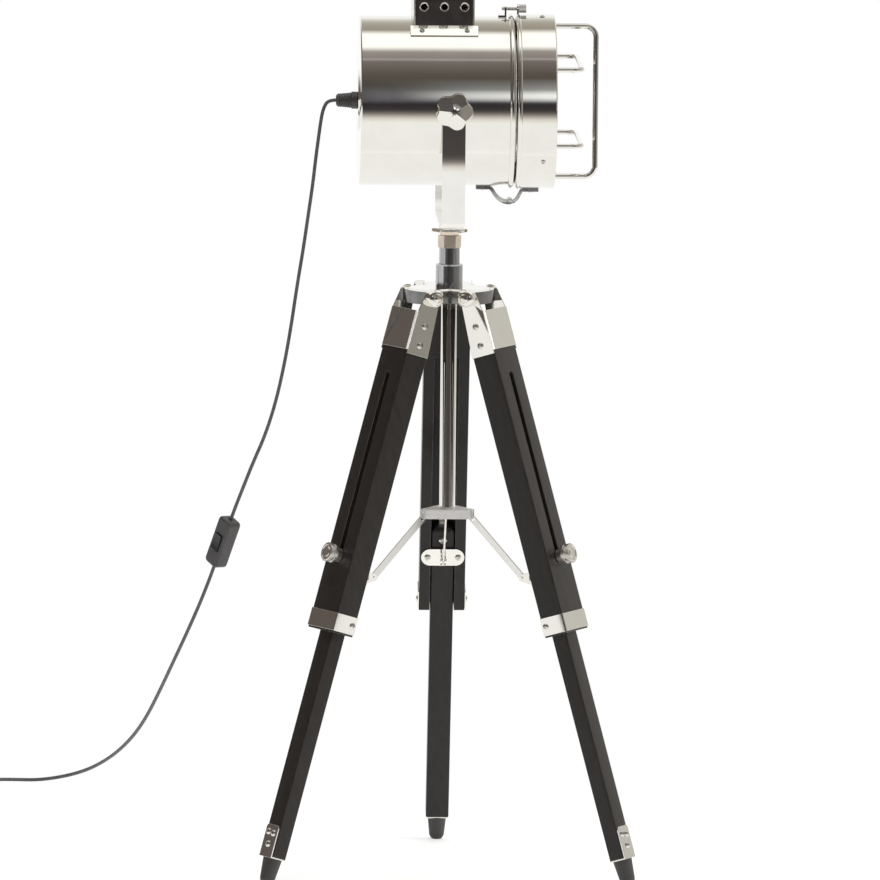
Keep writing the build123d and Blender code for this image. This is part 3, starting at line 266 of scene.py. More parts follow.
coil_middle, coil_turns, coil_points = Vector((-0.529, 0.573, 0.0)), 3, 12
turn_radii, turn_heights = (0.0262, 0.0222, 0.0262, 0.0248), (0.0021, 0.0021, 0.0062, 0.0080)
for step in range(1, coil_turns * coil_points + 1):
    turn, part_turn = divmod(step, coil_points)
    ease = max(0.0, (part_turn - coil_points + 3) / 3)
    before, after = min(turn, coil_turns), min(turn + 1, coil_turns)
    reach = turn_radii[before] + (turn_radii[after] - turn_radii[before]) * ease
    height = turn_heights[before] + (turn_heights[after] - turn_heights[before]) * ease
    angle = pi / 2 + 2 * pi * step / coil_points
    flex_route.append((coil_middle.x + reach * cos(angle), coil_middle.y + reach * sin(angle), height))
flex_route += [(-0.541, 0.597, 0.008), (-0.552, 0.597, 0.008)]


def flex_line(name, bevel):
    """The flex's smooth line as a mesh, as a bare line or as a round tube."""
    curve = bpy.data.curves.new(name, "CURVE")
    curve.dimensions = "3D"
    curve.resolution_u = 6
    curve.bevel_depth, curve.bevel_resolution = bevel, 3
    curve.use_fill_caps = bevel > 0
    spline = curve.splines.new("NURBS")
    spline.points.add(len(flex_route) - 1)
    for point, place in zip(spline.points, flex_route):
        point.co = (*place, 1.0)
    spline.order_u = 3
    spline.use_endpoint_u = True
    holder = bpy.data.objects.new(name, curve)
    scene.collection.objects.link(holder)
    return settled(holder)


def settled(holder):
    """The finished mesh of an object with its modifiers or its curve worked out, and the object removed."""
    bpy.context.view_layer.update()
    mesh = bpy.data.meshes.new_from_object(holder.evaluated_get(bpy.context.evaluated_depsgraph_get()))
    bpy.data.objects.remove(holder)
    return mesh


def grained(name, colours, scale, rough, stretch=(1, 1, 1), turn=(0, 0, 0), bump=0.1, edge_wear_and_highlight=None, **sockets):
    """A material whose colour, gloss and relief vary over a fine noise, and whose edges may be painted lighter: partly
    rubbed wear, partly a painted highlight.
    """
    material = bpy.data.materials.new(name)
    material.use_nodes = True
    tree = material.node_tree
    shader = tree.nodes["Principled BSDF"]
    for socket, value in sockets.items():
        shader.inputs[socket.replace("_", " ")].default_value = value
    turned = tree.nodes.new("ShaderNodeMapping")
    turned.inputs["Rotation"].default_value = turn
    stretched = tree.nodes.new("ShaderNodeMapping")
    stretched.inputs["Scale"].default_value = stretch
    tree.links.new(tree.nodes.new("ShaderNodeTexCoord").outputs["Object"], turned.inputs["Vector"])
    tree.links.new(turned.outputs[0], stretched.inputs["Vector"])
    noise = tree.nodes.new("ShaderNodeTexNoise")
    noise.inputs["Scale"].default_value = scale
    noise.inputs["Detail"].default_value = 6.0
    tree.links.new(stretched.outputs[0], noise.inputs["Vector"])
    tint = tree.nodes.new("ShaderNodeValToRGB")
    tint.color_ramp.elements[0].position, tint.color_ramp.elements[0].color = 0.35, (*colours[0], 1)
    tint.color_ramp.elements[1].position, tint.color_ramp.elements[1].color = 0.65, (*colours[1], 1)
    tree.links.new(noise.outputs["Fac"], tint.inputs["Fac"])
    colour = tint.outputs[0]
    # Rounded edges are painted lighter in patches: partly rubbed wear and partly a painted highlight along each edge.
    if edge_wear_and_highlight:
        round_edge = tree.nodes.new("ShaderNodeBevel")
        round_edge.samples = 4
        round_edge.inputs["Radius"].default_value = edge_wear_and_highlight[1]
        turning = tree.nodes.new("ShaderNodeVectorMath")
        turning.operation = "DOT_PRODUCT"
        tree.links.new(round_edge.outputs[0], turning.inputs[0])
        tree.links.new(tree.nodes.new("ShaderNodeNewGeometry").outputs["Normal"], turning.inputs[1])
        edge = tree.nodes.new("ShaderNodeMapRange")
        edge.inputs["From Min"].default_value, edge.inputs["From Max"].default_value = 0.985, 0.90
        tree.links.new(turning.outputs["Value"], edge.inputs["Value"])
        patchy = tree.nodes.new("ShaderNodeMath")
        patchy.operation = "MULTIPLY"
        tree.links.new(edge.outputs["Result"], patchy.inputs[0])
        tree.links.new(noise.outputs["Fac"], patchy.inputs[1])
        rubbed_and_lit_edge = tree.nodes.new("ShaderNodeMix")
        rubbed_and_lit_edge.data_type = "RGBA"
        rubbed_and_lit_edge.inputs[7].default_value = (*edge_wear_and_highlight[0], 1)
        tree.links.new(patchy.outputs[0], rubbed_and_lit_edge.inputs[0])
        tree.links.new(colour, rubbed_and_lit_edge.inputs[6])
        colour = rubbed_and_lit_edge.outputs[2]
    tree.links.new(colour, shader.inputs["Base Color"])
    gloss = tree.nodes.new("ShaderNodeMapRange")
    gloss.inputs["To Min"].default_value, gloss.inputs["To Max"].default_value = rough
    tree.links.new(noise.outputs["Fac"], gloss.inputs["Value"])
    tree.links.new(gloss.outputs["Result"], shader.inputs["Roughness"])
    relief = tree.nodes.new("ShaderNodeBump")
    relief.inputs["Strength"].default_value = bump
    relief.inputs["Distance"].default_value = 0.0003
    tree.links.new(noise.outputs["Fac"], relief.inputs["Height"])
    tree.links.new(relief.outputs[0], shader.inputs["Normal"])
    return material


def finished(name, mesh, body, slot, material, *stands_for):
    """Put a finished mesh in the scene on its body, in place of the CAD nodes it stands for."""
    mesh.materials.clear()
    mesh.materials.append(material)
    piece = bpy.data.objects.new(name, mesh)
    scene.collection.objects.link(piece)
    if body:
        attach(piece, body)
    if stands_for:
        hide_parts(*stands_for)
    return piece


flex_path = [tuple(vertex.co) for vertex in flex_line("flex_path", 0.0).vertices]
flex_sheath = grained("flex_sheath", ((0.070, 0.070, 0.072), (0.084, 0.084, 0.086)), 900, (0.44, 0.54), bump=0.08)
flex_mesh = flex_line("flex_tube", flex_radius)
flex_mesh.shade_smooth()
flex = finished("cord_flex", flex_mesh, None, "cord_cover", flex_sheath, "cord", "cord_coil")
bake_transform(flex)

# ---- Switch and plug
# The in-line switch is two moulded halves screwed together round the flex, with a black rocker in its
# broad face. The plug is one moulding with two flat pins.


def made_mesh(name, shape):
    """The mesh of a worked shape, which is then put away."""
    mesh = bpy.data.meshes.new(name)
    shape.to_mesh(mesh)
    shape.free()
    return mesh


def eased(name, mesh, edge, sharp):
    """The mesh with its sharp edges eased."""
    mesh.shade_smooth()
    holder = bpy.data.objects.new(name, mesh)
    scene.collection.objects.link(holder)
    bevel = holder.modifiers.new("ease", "BEVEL")
    bevel.width, bevel.segments = edge, 2
    bevel.limit_method, bevel.angle_limit = "ANGLE", radians(sharp)
    bevel.harden_normals = True
    return settled(holder)


def eased_mesh(node, edge, folds=None, fold=0.0):
    """A CAD node's mesh with its triangles merged into faces, its folds rounded and its sharp edges eased."""
    shape = bmesh.new()
    shape.from_mesh(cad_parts[node].data)
    bmesh.ops.remove_doubles(shape, verts=shape.verts, dist=1e-6)
    bmesh.ops.dissolve_limit(shape, angle_limit=radians(0.6), verts=shape.verts, edges=shape.edges)
    if folds:
        picked = [line for line in shape.edges if folds(line.verts[0].co, line.verts[1].co)]
        bmesh.ops.bevel(shape, geom=picked, offset=fold, segments=5, affect="EDGES", profile=0.5)
    mesh = made_mesh(node + "_eased", shape)
    for name in ("custom_normal", "sharp_edge", "sharp_face"):
        if name in mesh.attributes:
            mesh.attributes.remove(mesh.attributes[name])
    return eased(node + "_eased", mesh, edge, 28)


def eased_piece(name, node, edge, body, slot, material, **folded):
    """A CAD node shown with eased edges."""
    return finished(name, eased_mesh(node, edge, **folded), body, slot, material, node)


moulded_black = grained("moulded_black", ((0.050, 0.048, 0.048), (0.060, 0.058, 0.058)), 1400, (0.36, 0.44), bump=0.10)
pressed_black = grained("pressed_black", ((0.010, 0.010, 0.011), (0.016, 0.016, 0.017)), 1400, (0.18, 0.28), bump=0.1)
switch = eased_piece("switch_case", "switch_body", 0.0004, "yoke", "black_plastic", moulded_black)
eased_piece("switch_rocker", "rocker", 0.0004, "rocker", "black_plastic", pressed_black)
plug = eased_piece("mains_plug", "plug", 0.0006, "yoke", "black_plastic", moulded_black)

# ---- Hub, column and spindle
# A cast and plated hub that the legs hinge on, with a plated tube down its middle for the spreader to slide
# on. The turned steel spindle stands on it, with a brass hexagon nut and a small nut inside the yoke.
bright_plate = grained(
    "bright_plate", ((0.82, 0.805, 0.745), (0.850, 0.835, 0.775)), 38, (0.050, 0.095), bump=0.012, Metallic=1.0,
)
satin_plate = grained(
    "satin_plate", ((0.76, 0.745, 0.70), (0.83, 0.815, 0.77)), 300, (0.12, 0.20), bump=0.02, Metallic=1.0,
)
dull_steel = grained(
    "dull_steel", ((0.36, 0.365, 0.37), (0.52, 0.53, 0.54)), 260, (0.12, 0.20), stretch=(1, 1, 0.03),
    bump=0.05, Metallic=1.0,
)
warm_brass = grained(
    "warm_brass", ((0.72, 0.62, 0.50), (0.86, 0.77, 0.66)), 240, (0.26, 0.38), bump=0.05, Metallic=1.0,
)
hub = eased_piece("hub_casting", "hub_plate", 0.0008, "base", "chrome", bright_plate)
hub_rim = grained("hub_rim", ((0.20, 0.20, 0.20), (0.30, 0.30, 0.295)), 70, (0.20, 0.30), bump=0.04, Metallic=1.0)
hub.data.materials.append(hub_rim)
for face in hub.data.polygons:
    face.material_index = 1 if abs(face.normal.z) < 0.5 else 0
eased_piece("nuts_under_yoke", "spindle_nuts", 0.0004, "base", "brass", warm_brass)


def dressed(material, *nodes):
    """Give CAD nodes that are shown as they are their finish."""
    for node in nodes:
        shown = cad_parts[node].data.materials
        shown.clear()
        shown.append(material)


dressed(bright_plate, "column_tube")
dressed(dull_steel, "spindle")
column = sum(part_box("column_tube"), Vector()) / 2

# ---- Legs
# Each upper leg is lacquered hardwood with a slotted front board and a channel behind, in which the lower
# leg slides. Screwed sheet straps hold its hinge bolt, and a screwed band ties its bottom end.
leg_azimuths = {"back": 90.0, "left": 210.0, "right": 330.0}
leg_lean, hinge_radius, hinge_height = radians(17.0), 0.038, 0.640
board_face, strap_face, band_face, foot_face = 0.0140, 0.0270, 0.0266, 0.0073


def on_leg(side, sideways, down, out):
    """A place on a leg, from its hinge: across the leg, down along it and out of its front."""
    around = radians(leg_azimuths[side])
    across = Vector((-sin(around), cos(around), 0))
    front = Vector((cos(around) * cos(leg_lean), sin(around) * cos(leg_lean), sin(leg_lean)))
    hinge = Vector((column.x + hinge_radius * cos(around), column.y + hinge_radius * sin(around), hinge_height))
    return hinge + across * sideways + across.cross(front) * down + front * out


def leg_way(side, sideways, down, out):
    """A direction in a leg's own axes."""
    return (on_leg(side, sideways, down, out) - on_leg(side, 0, 0, 0)).normalized()


def skinned(shape, rings):
    """Close a shape with faces between its rings of points, of which some are a single point."""
    steps = max(len(ring) for ring in rings)
    for low_ring, high_ring in zip(rings, rings[1:]):
        for i in range(steps):
            j = (i + 1) % steps
            corners = [low_ring[i % len(low_ring)], low_ring[j % len(low_ring)]]
            corners += [high_ring[j % len(high_ring)], high_ring[i % len(high_ring)]]
            unique = list(dict.fromkeys(corners))
            if len(unique) > 2:
                shape.faces.new(unique)
    bmesh.ops.recalc_face_normals(shape, faces=shape.faces)


def turned_mesh(name, profile, steps):
    """A mesh turned round Z from (radius, height) points, closed where the radius is 0."""
    shape = bmesh.new()
    rings = []
    for radius, height in profile:
        count = steps if radius > 0 else 1
        rings.append([
            shape.verts.new((radius * cos(2 * pi * i / steps), radius * sin(2 * pi * i / steps), height))
            for i in range(count)
        ])
    skinned(shape, rings)
    mesh = made_mesh(name, shape)
    mesh.shade_smooth()
    mesh.set_sharp_from_angle(angle=radians(38))
    return mesh


def hidden(name, mesh):
    """An object that is only a pattern for others."""
    pattern = bpy.data.objects.new(name, mesh)
    scene.collection.objects.link(pattern)
    return pattern


def cross_head(name, radius, height, wide, deep):
    """A round-topped screw head with a cross recess, standing on Z = 0."""
    dome = [(0, -0.0002), (radius * 0.96, -0.0002), (radius, height * 0.25)]
    dome += [(radius * cos(t), height * (0.25 + 0.75 * sin(t))) for t in (radians(28), radians(52), radians(74))]
    dome.append((0, height))
    head = hidden(name, turned_mesh(name, dome, 20))
    shape = bmesh.new()
    arm = radius * 0.62
    outline = [
        Matrix.Rotation(quarter * pi / 2, 2) @ Vector(corner)
        for quarter in range(4) for corner in ((arm, -wide), (arm, wide), (wide, wide))
    ]
    top = [shape.verts.new((p.x, p.y, height * 1.4)) for p in outline]
    bottom = [shape.verts.new((p.x * 0.72, p.y * 0.72, height - deep)) for p in outline]
    shape.faces.new(top)
    shape.faces.new(bottom)
    for i in range(len(top)):
        shape.faces.new((top[i], top[i - 1], bottom[i - 1], bottom[i]))
    bmesh.ops.recalc_face_normals(shape, faces=shape.faces)
    cutter = hidden(name + "_recess", made_mesh(name + "_recess", shape))
    cut = head.modifiers.new("recess", "BOOLEAN")
    cut.operation, cut.solver, cut.object = "DIFFERENCE", "EXACT", cutter
    made = settled(head)
    bpy.data.objects.remove(cutter)
    made.set_sharp_from_angle(angle=radians(38))
    return made


def seating_tree():
    """Nodes that set a copy of a pattern on every point, upright along its facing and turned by its along."""
    tree = bpy.data.node_groups.new("pattern_on_seats", "GeometryNodeTree")
    for label, kind in (
        ("Seats", "Geometry"), ("Pattern", "Object"), ("Size", "Float"), ("Turn spread", "Float"),
        ("Finish", "Material"),
    ):
        tree.interface.new_socket(label, in_out="INPUT", socket_type="NodeSocket" + kind)
    tree.interface.new_socket("Seated", in_out="OUTPUT", socket_type="NodeSocketGeometry")
    given = tree.nodes.new("NodeGroupInput").outputs
    made = tree.nodes.new("NodeGroupOutput").inputs

    def along(name, axis, pivot, rotation=None):
        named = tree.nodes.new("GeometryNodeInputNamedAttribute")
        named.data_type = "FLOAT_VECTOR"
        named.inputs["Name"].default_value = name
        align = tree.nodes.new("FunctionNodeAlignRotationToVector")
        align.axis, align.pivot_axis = axis, pivot
        if rotation:
            tree.links.new(rotation, align.inputs["Rotation"])
        tree.links.new(named.outputs["Attribute"], align.inputs["Vector"])
        return align.outputs["Rotation"]

    chance = tree.nodes.new("FunctionNodeRandomValue")
    chance.data_type = "FLOAT"
    chance.inputs["Seed"].default_value = 7
    tree.links.new(given["Turn spread"], [s for s in chance.inputs if s.name == "Max" and s.type == "VALUE"][0])
    spin = tree.nodes.new("FunctionNodeAxisAngleToRotation")
    spin.inputs["Axis"].default_value = (0, 0, 1)
    tree.links.new([s for s in chance.outputs if s.type == "VALUE"][0], spin.inputs["Angle"])
    turned = tree.nodes.new("FunctionNodeRotateRotation")
    turned.rotation_space = "LOCAL"
    tree.links.new(along("along", "X", "Z", along("facing", "Z", "AUTO")), turned.inputs["Rotation"])
    tree.links.new(spin.outputs[0], turned.inputs["Rotate By"])
    pattern = tree.nodes.new("GeometryNodeObjectInfo")
    tree.links.new(given["Pattern"], pattern.inputs["Object"])
    copies = tree.nodes.new("GeometryNodeInstanceOnPoints")
    tree.links.new(given["Seats"], copies.inputs["Points"])
    tree.links.new(pattern.outputs["Geometry"], copies.inputs["Instance"])
    tree.links.new(turned.outputs[0], copies.inputs["Rotation"])
    tree.links.new(given["Size"], copies.inputs["Scale"])
    real = tree.nodes.new("GeometryNodeRealizeInstances")
    tree.links.new(copies.outputs[0], real.inputs[0])
    coated = tree.nodes.new("GeometryNodeSetMaterial")
    tree.links.new(real.outputs[0], coated.inputs["Geometry"])
    tree.links.new(given["Finish"], coated.inputs["Material"])
    tree.links.new(coated.outputs[0], made["Seated"])
    return tree


pattern_on_seats = seating_tree()


def seated(name, pattern, seats, body, slot, material, size=1.0, spread=0.0, extra=None):
    """One plain mesh of a pattern's copies on (place, facing, along) seats, maybe with another mesh joined."""
    mesh = bpy.data.meshes.new(name)
    mesh.from_pydata([tuple(seat[0]) for seat in seats], [], [])
    for k, label in ((1, "facing"), (2, "along")):
        values = mesh.attributes.new(label, "FLOAT_VECTOR", "POINT")
        for i, seat in enumerate(seats):
            values.data[i].vector = tuple(seat[k])
    holder = hidden(name, mesh)
    seating = holder.modifiers.new("seats", "NODES")
    values = {"Pattern": pattern, "Size": size, "Turn spread": spread, "Finish": material}
    seating.node_group = pattern_on_seats
    for item in pattern_on_seats.interface.items_tree:
        if item.in_out == "INPUT" and item.name in values:
            seating[item.identifier] = values[item.name]
    made = settled(holder)
    for label in ("facing", "along"):
        if label in made.attributes:
            made.attributes.remove(made.attributes[label])
    if extra:
        shape = bmesh.new()
        shape.from_mesh(made)
        shape.from_mesh(extra)
        shape.to_mesh(made)
        shape.free()
    return finished(name, made, body, slot, material)


pan_head = hidden("pan_head", cross_head("pan_head_shape", 0.0036, 0.0021, 0.00055, 0.0016))
screw_steel = grained(
    "screw_steel", ((0.70, 0.68, 0.63), (0.80, 0.78, 0.73)), 900, (0.16, 0.28), bump=0.04, Metallic=1.0,
)
strap_screws_down, band_screw_down, band_screw_back, band_fold = (0.033, 0.0545), 0.371, 0.009, 0.0020
strap_sheet, ear_share, ear_blend, eye_radius = 0.0016, 0.70, 0.024, 0.0049
fold_radius, fold_least_area, fold_aside, fold_above_board, fold_least_run = 0.0032, 1.5e-5, 0.0250, 0.0006, 0.015
# A near-white rough finish for the rounded front folds of the straps: a painted highlight along each fold.
painted_fold_highlight = grained(
    "painted_fold_highlight", ((0.93, 0.92, 0.89), (0.98, 0.97, 0.94)), 300, (0.34, 0.44), bump=0.03, Metallic=0.10,
)
nut_plate = grained("nut_plate", ((0.66, 0.61, 0.53), (0.90, 0.87, 0.81)), 330, (0.08, 0.20), bump=0.5, Metallic=1.0)
nut_cap_profile = [(0.0064 * cos(radians(t)), 0.0034 * sin(radians(t)) - 0.0012) for t in (0, 12, 26, 40, 55, 70, 90)]
nut_cap_profile[-1] = (0, 0.0022)
nut_cap = hidden("nut_cap", turned_mesh("nut_cap_shape", nut_cap_profile, 24))
for side, azimuth in leg_azimuths.items():
    # The pale edge colour of the lacquer is partly rubbed wear and partly a painted highlight on the rounded edges.
    lacquer = grained(
        f"lacquer_{side}", ((0.0155, 0.0134, 0.0118), (0.0205, 0.0172, 0.0150)), 9, (0.28, 0.38),
        stretch=(26, 26, 1.0), turn=(0, leg_lean, -radians(azimuth)), bump=0.06, edge_wear_and_highlight=((0.34, 0.31, 0.28), 0.0009),
        Coat_Weight=0.25, Coat_Roughness=0.22, Specular_IOR_Level=0.20,
    )
    for half, body in (("upper", f"leg_{side}"), ("lower", f"lower_leg_{side}")):
        eased_piece(f"{half}_leg_wood_{side}", f"leg_{half}_{side}", 0.0007, body, "black_wood", lacquer)
    hinge, axes = on_leg(side, 0, 0, 0), [leg_way(side, 1, 0, 0), leg_way(side, 0, 1, 0), leg_way(side, 0, 0, 1)]

    def outer_corner(*ends):
        """Whether an edge is an outer corner of the front plate or of the band."""
        places = [[axis.dot(end - hinge) for axis in axes] for end in ends]
        level = all(abs(place[0]) > fold_aside and place[2] > board_face + fold_above_board for place in places)
        return level and abs(places[0][1] - places[1][1]) > fold_least_run

    straps = eased_mesh(f"leg_bracket_{side}", 0.0004, folds=outer_corner, fold=fold_radius)
    reach = {-1: 0.0, 1: 0.0}
    for vertex in straps.vertices:
        sideways, down, out = (axis.dot(vertex.co - hinge) for axis in axes)
        if abs(sideways) > strap_face + 0.0002:
            reach[1 if sideways > 0 else -1] = max(reach[1 if sideways > 0 else -1], abs(sideways))
        elif (
            abs(sideways) > strap_face - strap_sheet - 0.0003
            and down * down + out * out > eye_radius ** 2 and down < ear_blend
        ):
            t = min(1.0, max(0.0, down / ear_blend))
            share = ear_share + (1 - ear_share) * t * t * (3 - 2 * t)
            out, down = out * share, down * (ear_share if down < 0 else 1.0)
            vertex.co = hinge + axes[0] * sideways + axes[1] * down + axes[2] * out
    straps = finished(f"hinge_straps_{side}", straps, f"leg_{side}", "chrome", bright_plate, f"leg_bracket_{side}")
    straps.data.materials.append(painted_fold_highlight)
    # Faces of the rounded front folds take the painted highlight finish; all other faces keep the plate.
    for face in straps.data.polygons:
        sideways, down, out = (abs(axis.dot(face.normal)) for axis in axes)
        rounded = 0.10 < sideways < 0.995 and out > 0.08 and down < 0.2
        at_front = axes[2].dot(face.center - hinge) > board_face - 0.004
        face.material_index = 1 if rounded and at_front and face.area > fold_least_area else 0
    nut_side = 1 if reach[1] > reach[-1] else -1
    cap_place = on_leg(side, nut_side * (reach[nut_side] - 0.0008), 0, 0)
    cap_seat = (cap_place, leg_way(side, nut_side, 0, 0), leg_way(side, 0, 1, 0))
    seated(f"hinge_nut_cap_{side}", nut_cap, [cap_seat], f"leg_{side}", "chrome", nut_plate)
    eased_piece(
        f"end_band_{side}", f"leg_band_{side}", 0.0003, f"leg_{side}", "chrome", bright_plate,
        folds=outer_corner, fold=band_fold,
    )
    seats = []
    for way in (-1, 1):
        for down in strap_screws_down:
            seats.append((on_leg(side, way * strap_face, down, 0), leg_way(side, way, 0, 0), leg_way(side, 0, 1, 0.3)))
        band_place = on_leg(side, way * band_face, band_screw_down, -band_screw_back)
        seats.append((band_place, leg_way(side, way, 0, 0), leg_way(side, 0, 1, 0)))
    seated(f"leg_screws_{side}", pan_head, seats, f"leg_{side}", "chrome", screw_steel, spread=1.5)

# ---- Clamp knobs
# Each lower leg is held by a bolt through the slot, with a turned and nickel-plated knob screwed on it: a
# plain step against the board and a milled grip with a rim and a shallow dish in its face.
knob_down, knob_seat, step_radius, step_length = 0.299, 0.0143, 0.0080, 0.0070
grip_radius, grip_length, mill_count, mill_depth, mill_middle = 0.0104, 0.0110, 44, 0.0006, 0.0078
knob_nickel = grained(
    "knob_nickel", ((0.76, 0.73, 0.66), (0.86, 0.83, 0.77)), 420, (0.26, 0.36), bump=0.03, Metallic=1.0,
)
knob_end = step_length + grip_length
knob_profile = [
    (0.0031, 0), (step_radius - 0.0004, 0), (step_radius, 0.0004), (step_radius, step_length - 0.0006),
    (step_radius - 0.0005, step_length), (grip_radius - 0.0008, step_length), (grip_radius, step_length + 0.0008),
    (grip_radius, step_length + 0.0034), (grip_radius - 0.0007, step_length + 0.0038),
    (grip_radius - 0.0007, step_length + 0.0048), (grip_radius, step_length + 0.0052), (grip_radius, knob_end - 0.0012),
    (grip_radius - 0.0003, knob_end - 0.0004), (grip_radius - 0.0011, knob_end),
    (grip_radius - 0.0022, knob_end - 0.0001), (grip_radius - 0.0027, knob_end - 0.0009),
    (grip_radius - 0.0046, knob_end - 0.0011), (grip_radius - 0.0053, knob_end - 0.0004),
    (0.0016, knob_end - 0.0003), (0, knob_end - 0.0003),
]
rib_shape = bmesh.new()
rib_radius, rib_length, rib_sunk = mill_depth * 1.05, 0.0050, mill_depth * 0.55
bmesh.ops.create_cone(
    rib_shape, segments=4, radius1=rib_radius, radius2=rib_radius, depth=rib_length, cap_ends=True,
)
bmesh.ops.rotate(rib_shape, verts=rib_shape.verts, matrix=Matrix.Rotation(pi / 2, 3, "Y"))
mill_rib = hidden("mill_rib", made_mesh("mill_rib_shape", rib_shape))
for side in leg_azimuths:
    place = Matrix.Translation(on_leg(side, 0, knob_down, knob_seat))
    axes = Matrix([leg_way(side, 1, 0, 0), leg_way(side, 0, -1, 0), leg_way(side, 0, 0, 1)]).transposed().to_4x4()
    knob_mesh = turned_mesh(f"clamp_knob_{side}_turned", knob_profile, 44)
    knob_mesh.transform(place @ axes)
    seats = []
    for i in range(mill_count):
        t = 2 * pi * i / mill_count
        facing = leg_way(side, cos(t), -sin(t), 0)
        middle = on_leg(side, 0, knob_down, knob_seat + step_length + mill_middle)
        middle += facing * (grip_radius - rib_sunk)
        seats.append((middle, facing, leg_way(side, 0, 0, 1)))
    knob = seated(f"clamp_knob_milled_{side}", mill_rib, seats, f"clamp_{side}", "brass", knob_nickel, extra=knob_mesh)
    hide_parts(f"clamp_knob_{side}")
    dressed(satin_plate, f"clamp_bolt_{side}")

# ---- Wing nut
# A satin brass wing nut on the stud clamps the yoke from below. It is one casting: a cone that is turned
# true, with two thin wings that stand out from it on opposite sides.
wing_seat, wing_reach, wing_turn, wing_half = 0.7047, 0.0199, radians(12), 0.0009
wing_body = [
    (0.0046, 0), (0.0098, 0), (0.0104, 0.0006), (0.0108, 0.0030), (0.0118, 0.0085), (0.0122, 0.0118), (0.0116, 0.0124),
    (0.0046, 0.0124),
]
wing_mesh = turned_mesh("wing_nut_turned", wing_body, 40)
shape = bmesh.new()
shape.from_mesh(wing_mesh)
for way in (-1, 1):
    outline = [(0.0100, 0.0022), (0.0150, 0.0030), (wing_reach - 0.0008, 0.0036), (wing_reach, 0.0048)]
    outline += [(wing_reach - 0.0002, 0.0062), (wing_reach - 0.0014, 0.0070), (0.0150, 0.0068), (0.0100, 0.0064)]
    front, rear = ([shape.verts.new((way * x, y, z)) for x, z in outline] for y in (-wing_half, wing_half))
    shape.faces.new(front)
    shape.faces.new(rear[::-1])
    for i in range(len(outline)):
        shape.faces.new((front[i - 1], front[i], rear[i], rear[i - 1]))
bmesh.ops.recalc_face_normals(shape, faces=shape.faces)
shape.to_mesh(wing_mesh)
shape.free()
wing_mesh.transform(Matrix.Translation((column.x, column.y, wing_seat)) @ Matrix.Rotation(-wing_turn, 4, "Z"))
finished("wing_nut_casting", wing_mesh, "wing", "brass", warm_brass, "wing_nut")

# ---- Feet
# A plated sheet angle closes the end of each lower leg and is held to its front by three cross-headed
# screws. The foot under it is one tapered moulding of dark rubber.
foot_rubber = grained("foot_rubber", ((0.030, 0.028, 0.027), (0.050, 0.047, 0.045)), 1200, (0.45, 0.65), bump=0.4)
foot_screws = ((-0.0050, 0.6115), (0.0050, 0.6125), (0.0000, 0.6250))
for side in leg_azimuths:
    eased_piece(f"foot_sheet_{side}", f"foot_bracket_{side}", 0.0003, f"lower_leg_{side}", "chrome", satin_plate)
    facing, along = leg_way(side, 0, 0, 1), leg_way(side, 1, 0.4, 0)
    seats = [(on_leg(side, x, down, foot_face), facing, along) for x, down in foot_screws]
    seated(f"foot_screws_{side}", pan_head, seats, f"lower_leg_{side}", "chrome", screw_steel, spread=1.5)
    dressed(foot_rubber, f"foot_{side}")

# ---- Braces and spreader
# Three plated flat strips run from eared plates, screwed on the backs of the legs, up to a pressed cap with
# a matt plating that slides on the column, so that all legs fold together.
brace_screw_down, brace_screw_aside, brace_screw_back = 0.318, 0.0170, 0.0156
for side in leg_azimuths:
    eased_piece(f"brace_plate_sheet_{side}", f"brace_plate_{side}", 0.0003, f"leg_{side}", "chrome", bright_plate)
    eased_piece(f"brace_strip_{side}", f"brace_{side}", 0.0003, f"brace_{side}", "chrome", satin_plate)
    seats = [
        (on_leg(side, x, brace_screw_down, -brace_screw_back), leg_way(side, 0, 0, -1), leg_way(side, 1, x * 30, 0))
        for x in (-brace_screw_aside, brace_screw_aside)
    ]
    seated(f"brace_plate_screws_{side}", pan_head, seats, f"leg_{side}", "chrome", screw_steel, spread=1.5)
cap_plate = grained("cap_plate", ((0.86, 0.85, 0.82), (0.92, 0.91, 0.88)), 260, (0.40, 0.50), bump=0.03, Metallic=0.55)
eased_piece("spreader_cap", "spreader", 0.0004, "spreader", "chrome", cap_plate)

# ---- Yoke and knobs
# The yoke is one polished strip bent to a U, with a satin inner side; its slight bow below the pivots comes from a bump
# in its finish, not from its shape.
# A cast and polished knob with five lobes is screwed on each pivot stud and clamps the head.
arm_bow_top, arm_bow_tilt, arm_end_height, pivot_height = 0.7925, radians(9.0), 0.90, 0.853
arm_plate = grained(
    "arm_plate", ((0.82, 0.805, 0.755), (0.855, 0.84, 0.795)), 38, (0.050, 0.095), bump=0.012, Metallic=1.0,
)
tree = arm_plate.node_tree
heights = tree.nodes.new("ShaderNodeSeparateXYZ")
tree.links.new(tree.nodes.new("ShaderNodeTexCoord").outputs["Object"], heights.inputs[0])
below = tree.nodes.new("ShaderNodeMath")
below.operation, below.inputs[1].default_value, below.inputs[2].default_value = "SMOOTH_MIN", arm_bow_top, 0.014
tree.links.new(heights.outputs["Z"], below.inputs[0])
bow = tree.nodes.new("ShaderNodeBump")
bow.inputs["Strength"].default_value, bow.inputs["Distance"].default_value = 1.0, tan(arm_bow_tilt)
tree.links.new(below.outputs[0], bow.inputs["Height"])
fine = [node for node in tree.nodes if node.type == "BUMP" and node != bow][0]
tree.links.new(bow.outputs[0], fine.inputs["Normal"])
inner_plate = grained(
    "inner_plate", ((0.84, 0.825, 0.78), (0.88, 0.865, 0.82)), 90, (0.42, 0.52), bump=0.02, Metallic=0.9,
)
yoke_strip = eased_piece("yoke_strip", "yoke", 0.0004, "yoke", "chrome", arm_plate)
yoke_strip.data.materials.append(inner_plate)
for face in yoke_strip.data.polygons:
    inwards = face.normal.y * (column.y - face.center.y) > 0.02 or face.normal.z > 0.5
    face.material_index = 1 if inwards and face.center.z < arm_end_height else 0
dressed(bright_plate, "pivot_studs")

